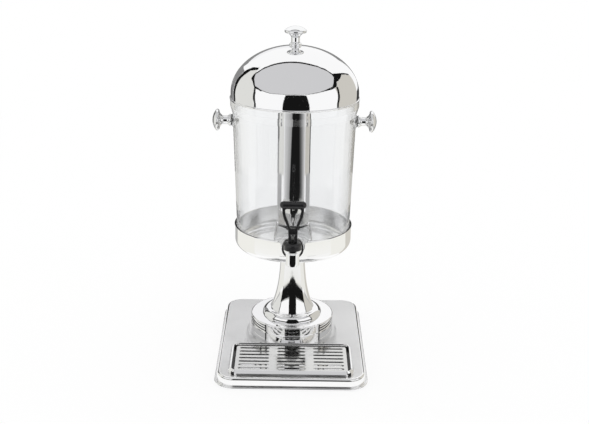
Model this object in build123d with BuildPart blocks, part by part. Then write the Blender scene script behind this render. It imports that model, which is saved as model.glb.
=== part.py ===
from build123d import *
import os

# Juice dispenser: a steel base with a drip tray, a turned pedestal, a cradle bowl, a clear tank
# with an ice tube down its middle, a dome lid and a lever tap.
# Millimetres, +Z up. The tap faces -Y and the origin is on the table under the middle of the base.

# Sheet, fits and edges that several pieces share
SHEET = 1.2
FIT_GAP = 0.05
HOLE_GAP = 0.4
EDGE_BREAK = 0.8

# Base plate
BASE_WIDTH = 261.0
BASE_DEPTH = 347.0
BASE_CORNER = 35.0
SKIRT_BOTTOM = 0.8
STEP_TOP = 4.6
STEP_INSET = 5.0
STEP_ROUND = 1.6
BASE_TOP = 20.0
BASE_ROUND = 5.0

# Feet and the plate that closes the base from below
FOOT_X = 110.0
FOOT_Y = 150.0
FOOT_RADIUS = 9.0
FOOT_HEIGHT = 4.0
POST_RADIUS = 5.0
BOTTOM_PLATE_TOP = FOOT_HEIGHT + SHEET
BOTTOM_PLATE_GAP = 0.6
FOOT_SCREW_RADIUS = 2.0
FOOT_SCREW_HEAD = 3.8
FOOT_SCREW_HEAD_BOTTOM = 0.6
FOOT_SCREW_HEAD_TOP = 2.4
FOOT_SCREW_LENGTH = 12.0

# Drip tray and its grille
TRAY_Y = -101.0
TRAY_WIDTH = 212.0
TRAY_DEPTH = 114.0
TRAY_CORNER = 16.0
TRAY_TOP = 28.0
TRAY_RIM = 5.2
TRAY_LEDGE = 6.2
TRAY_LEDGE_Z = 20.5
TRAY_FLOOR = 7.0
TRAY_SHEET = 1.0
TRAY_LIFT_GAP = 0.2
TRAY_FLANK = 4.0
TRAY_FLANK_DROP = 4.8
TRAY_LIP_ROUND = 0.8
TRAY_RIM_HOLLOW = 1.8
SMALL_CORNER = 4.0
TRAY_OPENING_GAP = 0.5
GRILLE_SIDE_GAP = 3.4
GRILLE_END_GAP = 0.5
GRILLE_CORNER = 10.0
GRILLE_TOP = 24.7
GRILLE_ROUND = 2.4
SLOT_LENGTH = 49.0
SIDE_SLOT_LENGTH = 52.0
SIDE_SLOT_X = 64.2
SLOT_WIDTH = 5.6
SLOT_CORNER = 2.7
SLOT_ROWS = 7
SLOT_ROW_PITCH = 12.8

# Pedestal, all turned about one upright axis behind the tray
AXIS_Y = 32.0
DRUM_RADIUS = 74.7
DRUM_SEAM = 38.0
DRUM_TOP = 54.5
DRUM_ROUND = 2.5
SEAM_BEVEL = 0.8
DRUM_LIP = 5.0
COLLAR_FOOT_RADIUS = 53.8
COLLAR_TOP_RADIUS = 40.0
COLLAR_TOP = 66.0
COLLAR_BULGE = 12.5
COLLAR_BORE = 33.0
COLLAR_SHEET = 1.5
COLUMN_SHEET = 1.5
COLUMN_WEB = 3.0
COLUMN_FOOT_EDGE = 1.5
COLUMN_FOOT_RADIUS = 39.0
COLUMN_FOOT_LEAN = 0.53
COLUMN_BENDS = ((35.7, 74.5), (31.5, 86.5), (27.9, 101.0), (24.9, 119.0), (22.7, 142.0))
COLUMN_NECK_RADIUS = 21.9
ROD_RADIUS = 5.0
ROD_BOTTOM = 6.5
ROD_TOP = 197.0
ROD_WASHER = 2.0
ROD_WASHER_RADIUS = 15.0
ROD_NUT_FLATS = 17.0
ROD_NUT_HEIGHT = 8.0
DOME_NUT_RADIUS = 8.0
DOME_NUT_RISE = 7.0

# Cradle bowl
BOWL_SHEET = 1.0
BOWL_RADIUS = 103.2
BOWL_BOTTOM = 184.5
BOWL_RIM = 228.0
BOWL_ROUND = 16.0
BOWL_BEAD = 1.6
NOTCH_HALF = 19.5
NOTCH_FLARE = 10.0
NOTCH_CLEAR = 5.0
BOWL_WASHER_RADIUS = 18.0

# Clear tank
TANK_WALL = 3.0
TANK_BOTTOM = 185.8
TANK_DRAFT = 0.0328
TANK_DRAFT_Z = 243.0
TANK_DRAFT_RADIUS = 100.6
TANK_ROUND = 14.0
LIP_START = 428.0
LIP_Z = 441.0
LIP_RADIUS = 110.8
LIP_TOP = 452.0
LIP_BEND = 8.0
LIP_ROUND = 4.0
LIP_EDGE = 1.2
UPSTAND_TOP = 457.0
UPSTAND_OUTER = 107.2
UPSTAND_INNER = 104.2
UPSTAND_ROUND = 1.0
CONE_FOOT_RADIUS = 36.0
CONE_TOP_RADIUS = 30.0
CONE_TOP = 228.0
CONE_FOOT_ROUND = 4.0
CONE_TOP_ROUND = 2.0
STUD_RADIUS = 4.0

# Ice tube
TUBE_RADIUS = 28.5
TUBE_SHEET = 1.0
TUBE_FLOOR = 1.5
TUBE_TOP = 446.0
TUBE_BEAD = 1.3
TUBE_GASKET = 1.5
TUBE_GASKET_RADIUS = 26.5
TUBE_FOOT_ROUND = 1.4
STUD_BOTTOM = 208.0
TUBE_NUT_HEIGHT = 9.0
TUBE_NUT_RADIUS = 13.0
TUBE_NUT_SCALLOP = 4.0
TUBE_NUT_LOBES = 6

# Lid
LID_RADIUS = 110.1
LID_RIM_RADIUS = 111.8
LID_RIM_BOTTOM = 452.3
LID_RIM_HEIGHT = 3.0
LID_RIM_ROUND = 1.2
LID_EQUATOR = 462.0
LID_RISE = 81.0
LID_SHEET = 1.1
LID_SEAT = 542.6

# Mushroom knobs, one on the lid and one on each side of the tank
KNOB_HEIGHT = 33.6
KNOB_FOOT = 9.8
KNOB_BEVEL = 0.7
KNOB_BEAD_Z = 2.6
KNOB_BEAD_BULGE = 0.5
KNOB_BEAD_TOP = 4.8
KNOB_FOOT_HOLLOW = 5.0
KNOB_NECK = 7.3
KNOB_NECK_BOTTOM = 9.0
KNOB_NECK_TOP = 14.5
KNOB_HEAD_HOLLOW = 11.0
KNOB_HEAD = 18.7
KNOB_UNDER = 16.7
KNOB_UNDER_Z = 22.0
KNOB_EDGE_Z = 24.6
KNOB_CROWN = 17.5
KNOB_CROWN_Z = 27.4
KNOB_CROWN_ARC = 30.0
CROWN_FLAT = 0.6
KNOB_SCREW_RADIUS = 2.5
KNOB_SCREW_DEPTH = 14.0
SIDE_KNOB_Z = 413.0
SIDE_PAD_RADIUS = 11.5
SIDE_PAD_OUT = 107.2
SIDE_PAD_IN = 101.5
SIDE_SEAL = 1.0
WASHER = 1.5
SCREW_HEAD_RADIUS = 5.0
SCREW_HEAD_HEIGHT = 3.2
SCREW_HEAD_ROUND = 1.4
CROSS_LENGTH = 6.0
CROSS_WIDTH = 1.2
CROSS_DEPTH = 1.6
SCREW_TIP_GAP = 2.0
KNOB_WASHER_RADIUS = 7.0
LID_WASHER_DROP = 0.25

# Tap, on a level shank through the front of the tank
TAP_REACH = 139.0
TAP_Y = AXIS_Y - TAP_REACH
SHANK_Z = 216.0
SHANK_RADIUS = 8.0
SHANK_BORE = 5.5
SHANK_END = 78.0
SHANK_BEVEL = 1.0
PAD_IN = 93.0
PAD_OUT = 103.7
PAD_RADIUS = 18.5
PAD_IN_RADIUS = 16.0
PAD_OVERLAP = 1.0
OUTER_WASHER = 2.5
OUTER_WASHER_RADIUS = 18.5
INNER_WASHER = 2.5
INNER_WASHER_RADIUS = 15.0
FLANGE = 3.5
FLANGE_RADIUS = 15.0
FLANGE_ROUND = 2.4
TAP_NECK_RADIUS = 9.5
TAP_NUT_FLATS = 24.0
TAP_NUT_HEIGHT = 8.0
SPOUT_BOTTOM = 199.5
SPOUT_RADIUS = 11.3
SPOUT_BEVEL = 0.8
SPOUT_BORE = 8.5
SPOUT_BORE_TOP = 206.0
BULB_Z = 220.0
VALVE_SEAT_Z = 209.0
VALVE_SEAT_RADIUS = 5.5
CHAMBER_RADIUS = 10.0
SHOULDER_RADIUS = 14.6
SHOULDER_Z = 228.0
SHOULDER_BAND = 2.0
SPIGOT_RADIUS = 12.8
SPIGOT_TOP = 235.2
BONNET_RADIUS = 15.0
BONNET_GAP = 0.2
BONNET_EDGE_Z = 236.0
BONNET_TOP = 241.1
BONNET_TOP_RADIUS = 9.0
BONNET_ROUND = 7.0
BONNET_ROOF = 235.4

# Valve and lever
STEM_RADIUS = 2.2
STEM_GAP = 0.08
STEM_BOTTOM = 210.6
SEAL_RADIUS = 4.5
SEAL_BOTTOM = 237.0
SEAL_TOP = 239.0
PLUG_RADIUS = 8.0
PLUG_BEVEL = 1.5
PLUG_BOTTOM = 209.3
PLUG_TOP = 214.5
STEM_FLANGE = 0.8
STEM_FLANGE_RADIUS = 7.2
SPRING_RADIUS = 6.0
SPRING_WIRE = 0.45
SPRING_TURNS = 6
PIN_Z = 248.0
PIN_RADIUS = 1.5
PIN_GAP = 0.05
PIN_GRIP_GAP = 0.02
PIN_INSET = 0.3
EYE_RADIUS = 4.6
EYE_HALF = 2.4
LEVER_SLOT = 2.8
LEVER_FOOT_HALF = 7.4
LEVER_FOOT_DROP = 6.5
LEVER_FOOT_DEPTH = 8.0
LEVER_FOOT_RISE = 9.0
LEVER_CAM = 4.0
LEVER_SLOT_TOP = 7.5
LEVER_DEPTH = 7.6
LEVER_WAIST = 8.0
LEVER_WAIST_Y = 14.0
LEVER_WAIST_LEAN = 0.2
LEVER_SIDE = ((11.9, 25.6), (15.6, 35.0))
LEVER_SHOULDER = 18.4
LEVER_SHOULDER_LEAN = 0.06
LEVER_BAR_Y = 56.6
LEVER_BAR_RADIUS = 6.4
LEVER_BAR_LENGTH = 43.5
LOOP_BOTTOM_Y = 16.3
LOOP_BOTTOM_RADIUS = 6.0
LOOP_BOTTOM_TURN = 74.0
LOOP_SIDE = ((11.3, 36.0),)
LOOP_TOP_Y = 50.5
LOOP_TOP_HALF = 13.5
LOOP_CORNER = 3.5
LEVER_EDGE = 1.2

# Seats: each one is a plane whose z direction runs along the axis of what sits on it
COLUMN = Plane(origin=(0, AXIS_Y, 0))
TAP = Plane(origin=(0, TAP_Y, 0))
SHANK = Plane(origin=(0, AXIS_Y, SHANK_Z), x_dir=(1, 0, 0), z_dir=(0, -1, 0))
LEVER = Plane(origin=(0, TAP_Y, PIN_Z), x_dir=(1, 0, 0), z_dir=(0, -1, 0))
PIN = Plane(origin=(0, TAP_Y, PIN_Z), x_dir=(0, 1, 0), z_dir=(1, 0, 0))
BAR = Plane(origin=(0, TAP_Y, PIN_Z + LEVER_BAR_Y), x_dir=(0, 1, 0), z_dir=(1, 0, 0))
LID_TOP = COLUMN.offset(LID_SEAT)
SIDES = {
    "left": Plane(origin=(0, AXIS_Y, SIDE_KNOB_Z), x_dir=(0, 1, 0), z_dir=(-1, 0, 0)),
    "right": Plane(origin=(0, AXIS_Y, SIDE_KNOB_Z), x_dir=(0, 1, 0), z_dir=(1, 0, 0)),
}


def profile_plane(seat):
    """The drawing plane through a seat's axis: x is the radius and y runs along the axis."""
    return Plane(origin=seat.origin, x_dir=seat.x_dir, z_dir=-seat.y_dir)


def turning_axis(seat):
    return Axis(seat.origin, seat.z_dir)


def tank_radius(z):
    """Outer radius of the tapered tank wall."""
    return TANK_DRAFT_RADIUS + (z - TANK_DRAFT_Z) * TANK_DRAFT


def ring(seat, inner, outer, start, end):
    """A plain ring about a seat's axis, between two distances along it."""
    with BuildPart() as made:
        with BuildSketch(seat.offset(start)):
            Circle(outer)
            Circle(inner, mode=Mode.SUBTRACT)
        extrude(amount=end - start)
    return made


def hex_nut(seat, flats, bore, start, end):
    """A hexagon nut about a seat's axis with its corners taken off at both ends."""
    with BuildPart() as made:
        with BuildSketch(seat.offset(start)):
            RegularPolygon(flats / 2, side_count=6, major_radius=False)
        extrude(amount=end - start)
        chamfer(made.faces().sort_by(turning_axis(seat))[-1].edges(), EDGE_BREAK)
        chamfer(made.faces().sort_by(turning_axis(seat))[0].edges(), EDGE_BREAK)
        with BuildSketch(seat.offset(start)):
            Circle(bore)
        extrude(amount=end - start, mode=Mode.SUBTRACT)
    return made


def knob(seat, start):
    """A turned mushroom knob with a tapped hole in its foot, standing out along a seat's axis."""
    bead_out = KNOB_FOOT + KNOB_BEAD_BULGE
    bead_top = (KNOB_FOOT - KNOB_BEVEL, KNOB_BEAD_TOP)
    head_under = (KNOB_UNDER, KNOB_UNDER_Z)
    head_crown = (KNOB_CROWN, KNOB_CROWN_Z)
    with BuildPart() as made:
        with BuildSketch(profile_plane(seat.offset(start))):
            with BuildLine():
                Polyline((0, 0), (KNOB_FOOT - KNOB_BEVEL, 0), (KNOB_FOOT, KNOB_BEVEL))
                ThreePointArc((KNOB_FOOT, KNOB_BEVEL), (bead_out, KNOB_BEAD_Z), bead_top)
                RadiusArc(bead_top, (KNOB_NECK, KNOB_NECK_BOTTOM), KNOB_FOOT_HOLLOW)
                Line((KNOB_NECK, KNOB_NECK_BOTTOM), (KNOB_NECK, KNOB_NECK_TOP))
                RadiusArc((KNOB_NECK, KNOB_NECK_TOP), head_under, KNOB_HEAD_HOLLOW)
                ThreePointArc(head_under, (KNOB_HEAD, KNOB_EDGE_Z), head_crown)
                RadiusArc(head_crown, (CROWN_FLAT, KNOB_HEIGHT), -KNOB_CROWN_ARC)
                Polyline((CROWN_FLAT, KNOB_HEIGHT), (0, KNOB_HEIGHT), (0, 0))
            make_face()
        revolve(axis=turning_axis(seat))
        with BuildSketch(seat.offset(start)):
            Circle(KNOB_SCREW_RADIUS + FIT_GAP)
        extrude(amount=KNOB_SCREW_DEPTH, mode=Mode.SUBTRACT)
    return made


def knob_screw(seat, head_end, tip):
    """A pan-head screw that enters a knob from inside, between two distances along a seat's axis."""
    with BuildPart() as made:
        with BuildSketch(seat.offset(head_end - SCREW_HEAD_HEIGHT)):
            Circle(SCREW_HEAD_RADIUS)
        extrude(amount=SCREW_HEAD_HEIGHT)
        fillet(made.faces().sort_by(turning_axis(seat))[0].edges(), SCREW_HEAD_ROUND)
        with BuildSketch(seat.offset(head_end)):
            Circle(KNOB_SCREW_RADIUS)
        extrude(amount=tip - head_end)
        with BuildSketch(seat.offset(head_end - SCREW_HEAD_HEIGHT)):
            SlotOverall(CROSS_LENGTH, CROSS_WIDTH)
            SlotOverall(CROSS_LENGTH, CROSS_WIDTH, rotation=90)
        extrude(amount=CROSS_DEPTH, mode=Mode.SUBTRACT)
    return made


def flanged_block(inset):
    """The base with its low foot flange as a solid block, drawn in by inset from its outer skin."""
    with BuildPart() as block:
        with BuildSketch(Plane.XY.offset(SKIRT_BOTTOM)):
            RectangleRounded(BASE_WIDTH - 2 * inset, BASE_DEPTH - 2 * inset, BASE_CORNER - inset)
        extrude(amount=STEP_TOP - inset - SKIRT_BOTTOM)
        fillet(block.faces().sort_by(Axis.Z)[-1].edges(), STEP_ROUND - inset)
        upper_inset = STEP_INSET + inset
        with BuildSketch(Plane.XY.offset(SKIRT_BOTTOM)):
            RectangleRounded(
                BASE_WIDTH - 2 * upper_inset,
                BASE_DEPTH - 2 * upper_inset,
                BASE_CORNER - upper_inset,
            )
        extrude(amount=BASE_TOP - inset - SKIRT_BOTTOM)
        fillet(block.faces().sort_by(Axis.Z)[-1].edges(), BASE_ROUND - inset)
    return block.part


def grille_outline(inset):
    """The grille's rounded outline drawn in by inset, in the sketch that is open."""
    with Locations((0, TRAY_Y)):
        RectangleRounded(
            TRAY_WIDTH - 2 * (TRAY_RIM + GRILLE_SIDE_GAP + inset),
            TRAY_DEPTH - 2 * (TRAY_RIM + GRILLE_END_GAP + inset),
            GRILLE_CORNER - inset,
        )


def tray_outline(inset):
    """The tray's rounded outline drawn in by inset, in the sketch that is open."""
    with Locations((0, TRAY_Y)):
        RectangleRounded(
            TRAY_WIDTH - 2 * inset,
            TRAY_DEPTH - 2 * inset,
            max(TRAY_CORNER - inset, SMALL_CORNER),
        )


os.makedirs("parts", exist_ok=True)

# Base plate: a flanged sheet pressing with an opening for the tray, a hole for the tie rod
# and four welded posts that take the foot screws
base_skin = flanged_block(0)
base_hollow = flanged_block(SHEET)
well_inset = TRAY_RIM - TRAY_SHEET
with BuildPart() as base_plate:
    add(base_skin)
    add(base_hollow, mode=Mode.SUBTRACT)
    with BuildSketch(Plane.XY.offset(BOTTOM_PLATE_TOP)):
        with GridLocations(2 * FOOT_X, 2 * FOOT_Y, 2, 2):
            Circle(POST_RADIUS)
    extrude(amount=BASE_TOP - SHEET / 2 - BOTTOM_PLATE_TOP)
    with BuildSketch(Plane.XY.offset(BOTTOM_PLATE_TOP)):
        with GridLocations(2 * FOOT_X, 2 * FOOT_Y, 2, 2):
            Circle(FOOT_SCREW_RADIUS + FIT_GAP)
    extrude(amount=FOOT_SCREW_LENGTH - SHEET, mode=Mode.SUBTRACT)
    with BuildSketch(Plane.XY.offset(BASE_TOP - SHEET)):
        tray_outline(well_inset - TRAY_OPENING_GAP)
        with Locations((0, AXIS_Y)):
            Circle(ROD_RADIUS + HOLE_GAP)
    extrude(amount=SHEET, mode=Mode.SUBTRACT)
base_plate.part.label = "base_plate"
export_step(base_plate.part, "parts/base_plate.step")

# Bottom plate
bottom_inset = STEP_INSET + SHEET + BOTTOM_PLATE_GAP
with BuildPart() as bottom_plate:
    with BuildSketch(Plane.XY.offset(FOOT_HEIGHT)):
        RectangleRounded(
            BASE_WIDTH - 2 * bottom_inset,
            BASE_DEPTH - 2 * bottom_inset,
            BASE_CORNER - bottom_inset,
        )
        with GridLocations(2 * FOOT_X, 2 * FOOT_Y, 2, 2):
            Circle(FOOT_SCREW_RADIUS + HOLE_GAP, mode=Mode.SUBTRACT)
    extrude(amount=SHEET)
bottom_plate.part.label = "bottom_plate"
export_step(bottom_plate.part, "parts/bottom_plate.step")

# Four rubber feet, each with a pocket for its screw head
for front_rear, y_side in (("front", -1), ("rear", 1)):
    for left_right, x_side in (("left", -1), ("right", 1)):
        foot_seat = Plane(origin=(x_side * FOOT_X, y_side * FOOT_Y, 0))
        with BuildPart() as foot:
            with BuildSketch(foot_seat):
                Circle(FOOT_RADIUS)
            extrude(amount=FOOT_HEIGHT)
            chamfer(foot.edges().sort_by(Axis.Z)[0], EDGE_BREAK)
            with BuildSketch(foot_seat):
                Circle(FOOT_SCREW_RADIUS + HOLE_GAP)
            extrude(amount=FOOT_HEIGHT, mode=Mode.SUBTRACT)
            with BuildSketch(foot_seat):
                Circle(FOOT_SCREW_HEAD + HOLE_GAP)
            extrude(amount=FOOT_SCREW_HEAD_TOP, mode=Mode.SUBTRACT)
        foot.part.label = f"foot_{front_rear}_{left_right}"
        export_step(foot.part, f"parts/foot_{front_rear}_{left_right}.step")

# Foot screws, four alike
with BuildPart() as foot_screws:
    with BuildSketch(Plane.XY.offset(FOOT_SCREW_HEAD_BOTTOM)):
        with GridLocations(2 * FOOT_X, 2 * FOOT_Y, 2, 2):
            Circle(FOOT_SCREW_HEAD)
    extrude(amount=FOOT_SCREW_HEAD_TOP - FOOT_SCREW_HEAD_BOTTOM)
    with BuildSketch(Plane.XY.offset(FOOT_SCREW_HEAD_TOP)):
        with GridLocations(2 * FOOT_X, 2 * FOOT_Y, 2, 2):
            Circle(FOOT_SCREW_RADIUS)
    extrude(amount=FOOT_SCREW_LENGTH)
foot_screws.part.label = "foot_screws"
export_step(foot_screws.part, "parts/foot_screws.step")

# Drip pan: a rim with a sloping flank that stands on the base plate, a ledge for the grille
# and a well below it
ledge_inset = TRAY_RIM + TRAY_LEDGE
rim_bottom = BASE_TOP + TRAY_LIFT_GAP
with BuildPart() as drip_pan:
    with BuildSketch(Plane.XY.offset(rim_bottom)):
        tray_outline(0)
    extrude(amount=TRAY_TOP - rim_bottom)
    rim_top = drip_pan.faces().sort_by(Axis.Z)[-1]
    chamfer(rim_top.edges(), TRAY_FLANK, TRAY_FLANK_DROP, reference=rim_top)
    with BuildSketch(Plane.XY.offset(rim_bottom)):
        tray_outline(TRAY_SHEET)
    extrude(amount=TRAY_RIM_HOLLOW, mode=Mode.SUBTRACT)
    with BuildSketch(Plane.XY.offset(TRAY_LEDGE_Z - TRAY_SHEET)):
        tray_outline(well_inset)
    extrude(amount=rim_bottom + TRAY_RIM_HOLLOW - TRAY_LEDGE_Z + TRAY_SHEET)
    with BuildSketch(Plane.XY.offset(TRAY_FLOOR)):
        tray_outline(ledge_inset - TRAY_SHEET)
    extrude(amount=TRAY_LEDGE_Z - TRAY_FLOOR)
    with BuildSketch(Plane.XY.offset(TRAY_LEDGE_Z)):
        tray_outline(TRAY_RIM)
    extrude(amount=TRAY_TOP - TRAY_LEDGE_Z, mode=Mode.SUBTRACT)
    with BuildSketch(Plane.XY.offset(TRAY_FLOOR + TRAY_SHEET)):
        tray_outline(ledge_inset)
    extrude(amount=TRAY_TOP - TRAY_FLOOR - TRAY_SHEET, mode=Mode.SUBTRACT)
    fillet(drip_pan.faces().sort_by(Axis.Z)[-1].inner_wires()[0].edges(), TRAY_LIP_ROUND)
drip_pan.part.label = "drip_pan"
export_step(drip_pan.part, "parts/drip_pan.step")

# Drip grille: a shallow pressed tray of slots that drops onto the pan's ledge, with a finger gap at each side
grille_bottom = TRAY_LEDGE_Z + TRAY_LIFT_GAP
with BuildPart() as drip_grille:
    with BuildSketch(Plane.XY.offset(grille_bottom)):
        grille_outline(0)
    extrude(amount=GRILLE_TOP - grille_bottom)
    fillet(drip_grille.faces().sort_by(Axis.Z)[-1].edges(), GRILLE_ROUND)
    with BuildSketch(Plane.XY.offset(grille_bottom)):
        grille_outline(SHEET)
    extrude(amount=GRILLE_TOP - SHEET - grille_bottom, mode=Mode.SUBTRACT)
    grille_roof = drip_grille.faces().filter_by(Axis.Z).sort_by(Axis.Z)[-2]
    fillet(grille_roof.edges(), GRILLE_ROUND - SHEET)
    with BuildSketch(Plane.XY.offset(GRILLE_TOP - SHEET)):
        with Locations((0, TRAY_Y)):
            with GridLocations(2 * SIDE_SLOT_X, SLOT_ROW_PITCH, 2, SLOT_ROWS):
                RectangleRounded(SIDE_SLOT_LENGTH, SLOT_WIDTH, SLOT_CORNER)
            with GridLocations(0, SLOT_ROW_PITCH, 1, SLOT_ROWS):
                RectangleRounded(SLOT_LENGTH, SLOT_WIDTH, SLOT_CORNER)
    extrude(amount=SHEET, mode=Mode.SUBTRACT)
drip_grille.part.label = "drip_grille"
export_step(drip_grille.part, "parts/drip_grille.step")

# Pedestal drum: a straight ring with a spun cap on it, whose lip centres it inside the ring
drum_inner = DRUM_RADIUS - SHEET
with BuildPart() as drum_ring:
    with BuildSketch(COLUMN.offset(BASE_TOP)):
        Circle(DRUM_RADIUS)
        Circle(drum_inner, mode=Mode.SUBTRACT)
    extrude(amount=DRUM_SEAM - BASE_TOP)
    chamfer(drum_ring.edges().filter_by(GeomType.CIRCLE).sort_by(SortBy.RADIUS)[-2:], SEAM_BEVEL)
drum_ring.part.label = "drum_ring"
export_step(drum_ring.part, "parts/drum_ring.step")

lip_outer = drum_inner - FIT_GAP
lip_inner = lip_outer - SHEET
with BuildPart() as drum_cap:
    with BuildSketch(profile_plane(COLUMN)) as drum_cap_profile:
        with BuildLine():
            Polyline(
                (ROD_RADIUS + HOLE_GAP, DRUM_TOP),
                (DRUM_RADIUS, DRUM_TOP),
                (DRUM_RADIUS, DRUM_SEAM),
                (lip_outer, DRUM_SEAM),
                (lip_outer, DRUM_SEAM - DRUM_LIP),
                (lip_inner, DRUM_SEAM - DRUM_LIP),
                (lip_inner, DRUM_TOP - SHEET),
                (ROD_RADIUS + HOLE_GAP, DRUM_TOP - SHEET),
                close=True,
            )
        make_face()
        corners = drum_cap_profile.vertices()
        fillet(corners.sort_by_distance((DRUM_RADIUS, DRUM_TOP))[0], DRUM_ROUND)
    revolve(axis=turning_axis(COLUMN))
    chamfer(drum_cap.edges().filter_by(GeomType.CIRCLE).sort_by(SortBy.RADIUS)[-1], SEAM_BEVEL)
drum_cap.part.label = "drum_cap"
export_step(drum_cap.part, "parts/drum_cap.step")

# Column collar: a spun ring that swells from the column's foot out to the drum
collar_foot = COLLAR_FOOT_RADIUS - COLLAR_SHEET
collar_top = COLLAR_TOP_RADIUS - COLLAR_SHEET
with BuildPart() as column_collar:
    with BuildSketch(profile_plane(COLUMN)):
        with BuildLine():
            RadiusArc((COLLAR_FOOT_RADIUS, DRUM_TOP), (COLLAR_TOP_RADIUS, COLLAR_TOP), -COLLAR_BULGE)
            Polyline(
                (COLLAR_TOP_RADIUS, COLLAR_TOP),
                (COLLAR_BORE, COLLAR_TOP),
                (COLLAR_BORE, COLLAR_TOP - COLLAR_SHEET),
                (collar_top, COLLAR_TOP - COLLAR_SHEET),
            )
            RadiusArc((collar_top, COLLAR_TOP - COLLAR_SHEET), (collar_foot, DRUM_TOP), COLLAR_BULGE)
            Line((collar_foot, DRUM_TOP), (COLLAR_FOOT_RADIUS, DRUM_TOP))
        make_face()
    revolve(axis=turning_axis(COLUMN))
column_collar.part.label = "column_collar"
export_step(column_collar.part, "parts/column_collar.step")


def column_curve(inset):
    """Points of the column's trumpet curve from foot to neck, drawn in by inset."""
    foot = (COLUMN_FOOT_RADIUS, COLLAR_TOP + COLUMN_FOOT_EDGE)
    neck = (COLUMN_NECK_RADIUS, BOWL_BOTTOM)
    return [(radius - inset, height) for radius, height in (foot, *COLUMN_BENDS, neck)]


# Column: a spun trumpet with a web across its top for the tie rod
curve_ends = [(-COLUMN_FOOT_LEAN, 1), (0, 1)]
outer_curve = column_curve(0)
inner_curve = column_curve(COLUMN_SHEET)
neck_inner = COLUMN_NECK_RADIUS - COLUMN_SHEET
with BuildPart() as column:
    with BuildSketch(profile_plane(COLUMN)):
        with BuildLine():
            Line((COLUMN_FOOT_RADIUS, COLLAR_TOP), outer_curve[0])
            Spline(outer_curve, tangents=curve_ends)
            Polyline(outer_curve[-1], (0, BOWL_BOTTOM), (0, COLLAR_TOP), (COLUMN_FOOT_RADIUS, COLLAR_TOP))
        make_face()
    revolve(axis=turning_axis(COLUMN))
    with BuildSketch(profile_plane(COLUMN)):
        with BuildLine():
            Line((COLUMN_FOOT_RADIUS - COLUMN_SHEET, COLLAR_TOP), inner_curve[0])
            Spline(inner_curve, tangents=curve_ends)
            Polyline(
                inner_curve[-1],
                (0, BOWL_BOTTOM),
                (0, COLLAR_TOP),
                (COLUMN_FOOT_RADIUS - COLUMN_SHEET, COLLAR_TOP),
            )
        make_face()
    revolve(axis=turning_axis(COLUMN), mode=Mode.SUBTRACT)
    with BuildSketch(COLUMN.offset(BOWL_BOTTOM - COLUMN_WEB)):
        Circle(neck_inner + COLUMN_SHEET / 2)
        Circle(ROD_RADIUS + HOLE_GAP, mode=Mode.SUBTRACT)
    extrude(amount=COLUMN_WEB)
column.part.label = "column"
export_step(column.part, "parts/column.step")

# Tie rod: it clamps the drum, collar, column and bowl down onto the base plate
with BuildPart() as tie_rod:
    with BuildSketch(COLUMN.offset(ROD_BOTTOM)):
        Circle(ROD_RADIUS)
    extrude(amount=ROD_TOP - ROD_BOTTOM)
    chamfer(tie_rod.edges().filter_by(GeomType.CIRCLE), EDGE_BREAK)
tie_rod.part.label = "tie_rod"
export_step(tie_rod.part, "parts/tie_rod.step")

rod_washer_top = BASE_TOP - SHEET
rod_washer_bottom = rod_washer_top - ROD_WASHER
tie_rod_washer = ring(COLUMN, ROD_RADIUS + HOLE_GAP, ROD_WASHER_RADIUS, rod_washer_bottom, rod_washer_top)
tie_rod_washer.part.label = "tie_rod_washer"
export_step(tie_rod_washer.part, "parts/tie_rod_washer.step")

tie_rod_nut = hex_nut(
    COLUMN,
    ROD_NUT_FLATS,
    ROD_RADIUS + FIT_GAP,
    rod_washer_bottom - ROD_NUT_HEIGHT,
    rod_washer_bottom,
)
tie_rod_nut.part.label = "tie_rod_nut"
export_step(tie_rod_nut.part, "parts/tie_rod_nut.step")

# Cradle bowl: a deep-drawn cup with a beaded rim and a U notch that the tap drops through
bowl_floor = BOWL_BOTTOM + BOWL_SHEET
bowl_inner = BOWL_RADIUS - BOWL_SHEET
bead_z = BOWL_RIM - BOWL_BEAD
notch_top = BOWL_RIM - SHANK_Z
flare_z = notch_top - NOTCH_FLARE
notch_mouth = NOTCH_HALF + NOTCH_FLARE
cut_top = notch_top + NOTCH_CLEAR
with BuildPart() as cradle_bowl:
    with BuildSketch(profile_plane(COLUMN)) as bowl_profile:
        with BuildLine():
            Polyline(
                (ROD_RADIUS + HOLE_GAP, BOWL_BOTTOM),
                (BOWL_RADIUS, BOWL_BOTTOM),
                (BOWL_RADIUS, bead_z),
                (bowl_inner, bead_z),
                (bowl_inner, bowl_floor),
                (ROD_RADIUS + HOLE_GAP, bowl_floor),
                close=True,
            )
        make_face()
        fillet(bowl_profile.vertices().sort_by_distance((BOWL_RADIUS, BOWL_BOTTOM))[0], BOWL_ROUND)
        bowl_corners = bowl_profile.vertices()
        fillet(bowl_corners.sort_by_distance((bowl_inner, bowl_floor))[0], BOWL_ROUND - BOWL_SHEET)
        with Locations((bowl_inner + BOWL_SHEET / 2, bead_z)):
            Circle(BOWL_BEAD)
    revolve(axis=turning_axis(COLUMN))
    with BuildSketch(SHANK):
        with BuildLine():
            Polyline((-notch_mouth, notch_top), (-notch_mouth, cut_top), (notch_mouth, cut_top))
            Line((notch_mouth, cut_top), (notch_mouth, notch_top))
            RadiusArc((notch_mouth, notch_top), (NOTCH_HALF, flare_z), -NOTCH_FLARE)
            Line((NOTCH_HALF, flare_z), (NOTCH_HALF, 0))
            ThreePointArc((NOTCH_HALF, 0), (0, -NOTCH_HALF), (-NOTCH_HALF, 0))
            Line((-NOTCH_HALF, 0), (-NOTCH_HALF, flare_z))
            RadiusArc((-NOTCH_HALF, flare_z), (-notch_mouth, notch_top), -NOTCH_FLARE)
        make_face()
    extrude(amount=BOWL_RADIUS + NOTCH_CLEAR, mode=Mode.SUBTRACT)
cradle_bowl.part.label = "cradle_bowl"
export_step(cradle_bowl.part, "parts/cradle_bowl.step")

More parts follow.
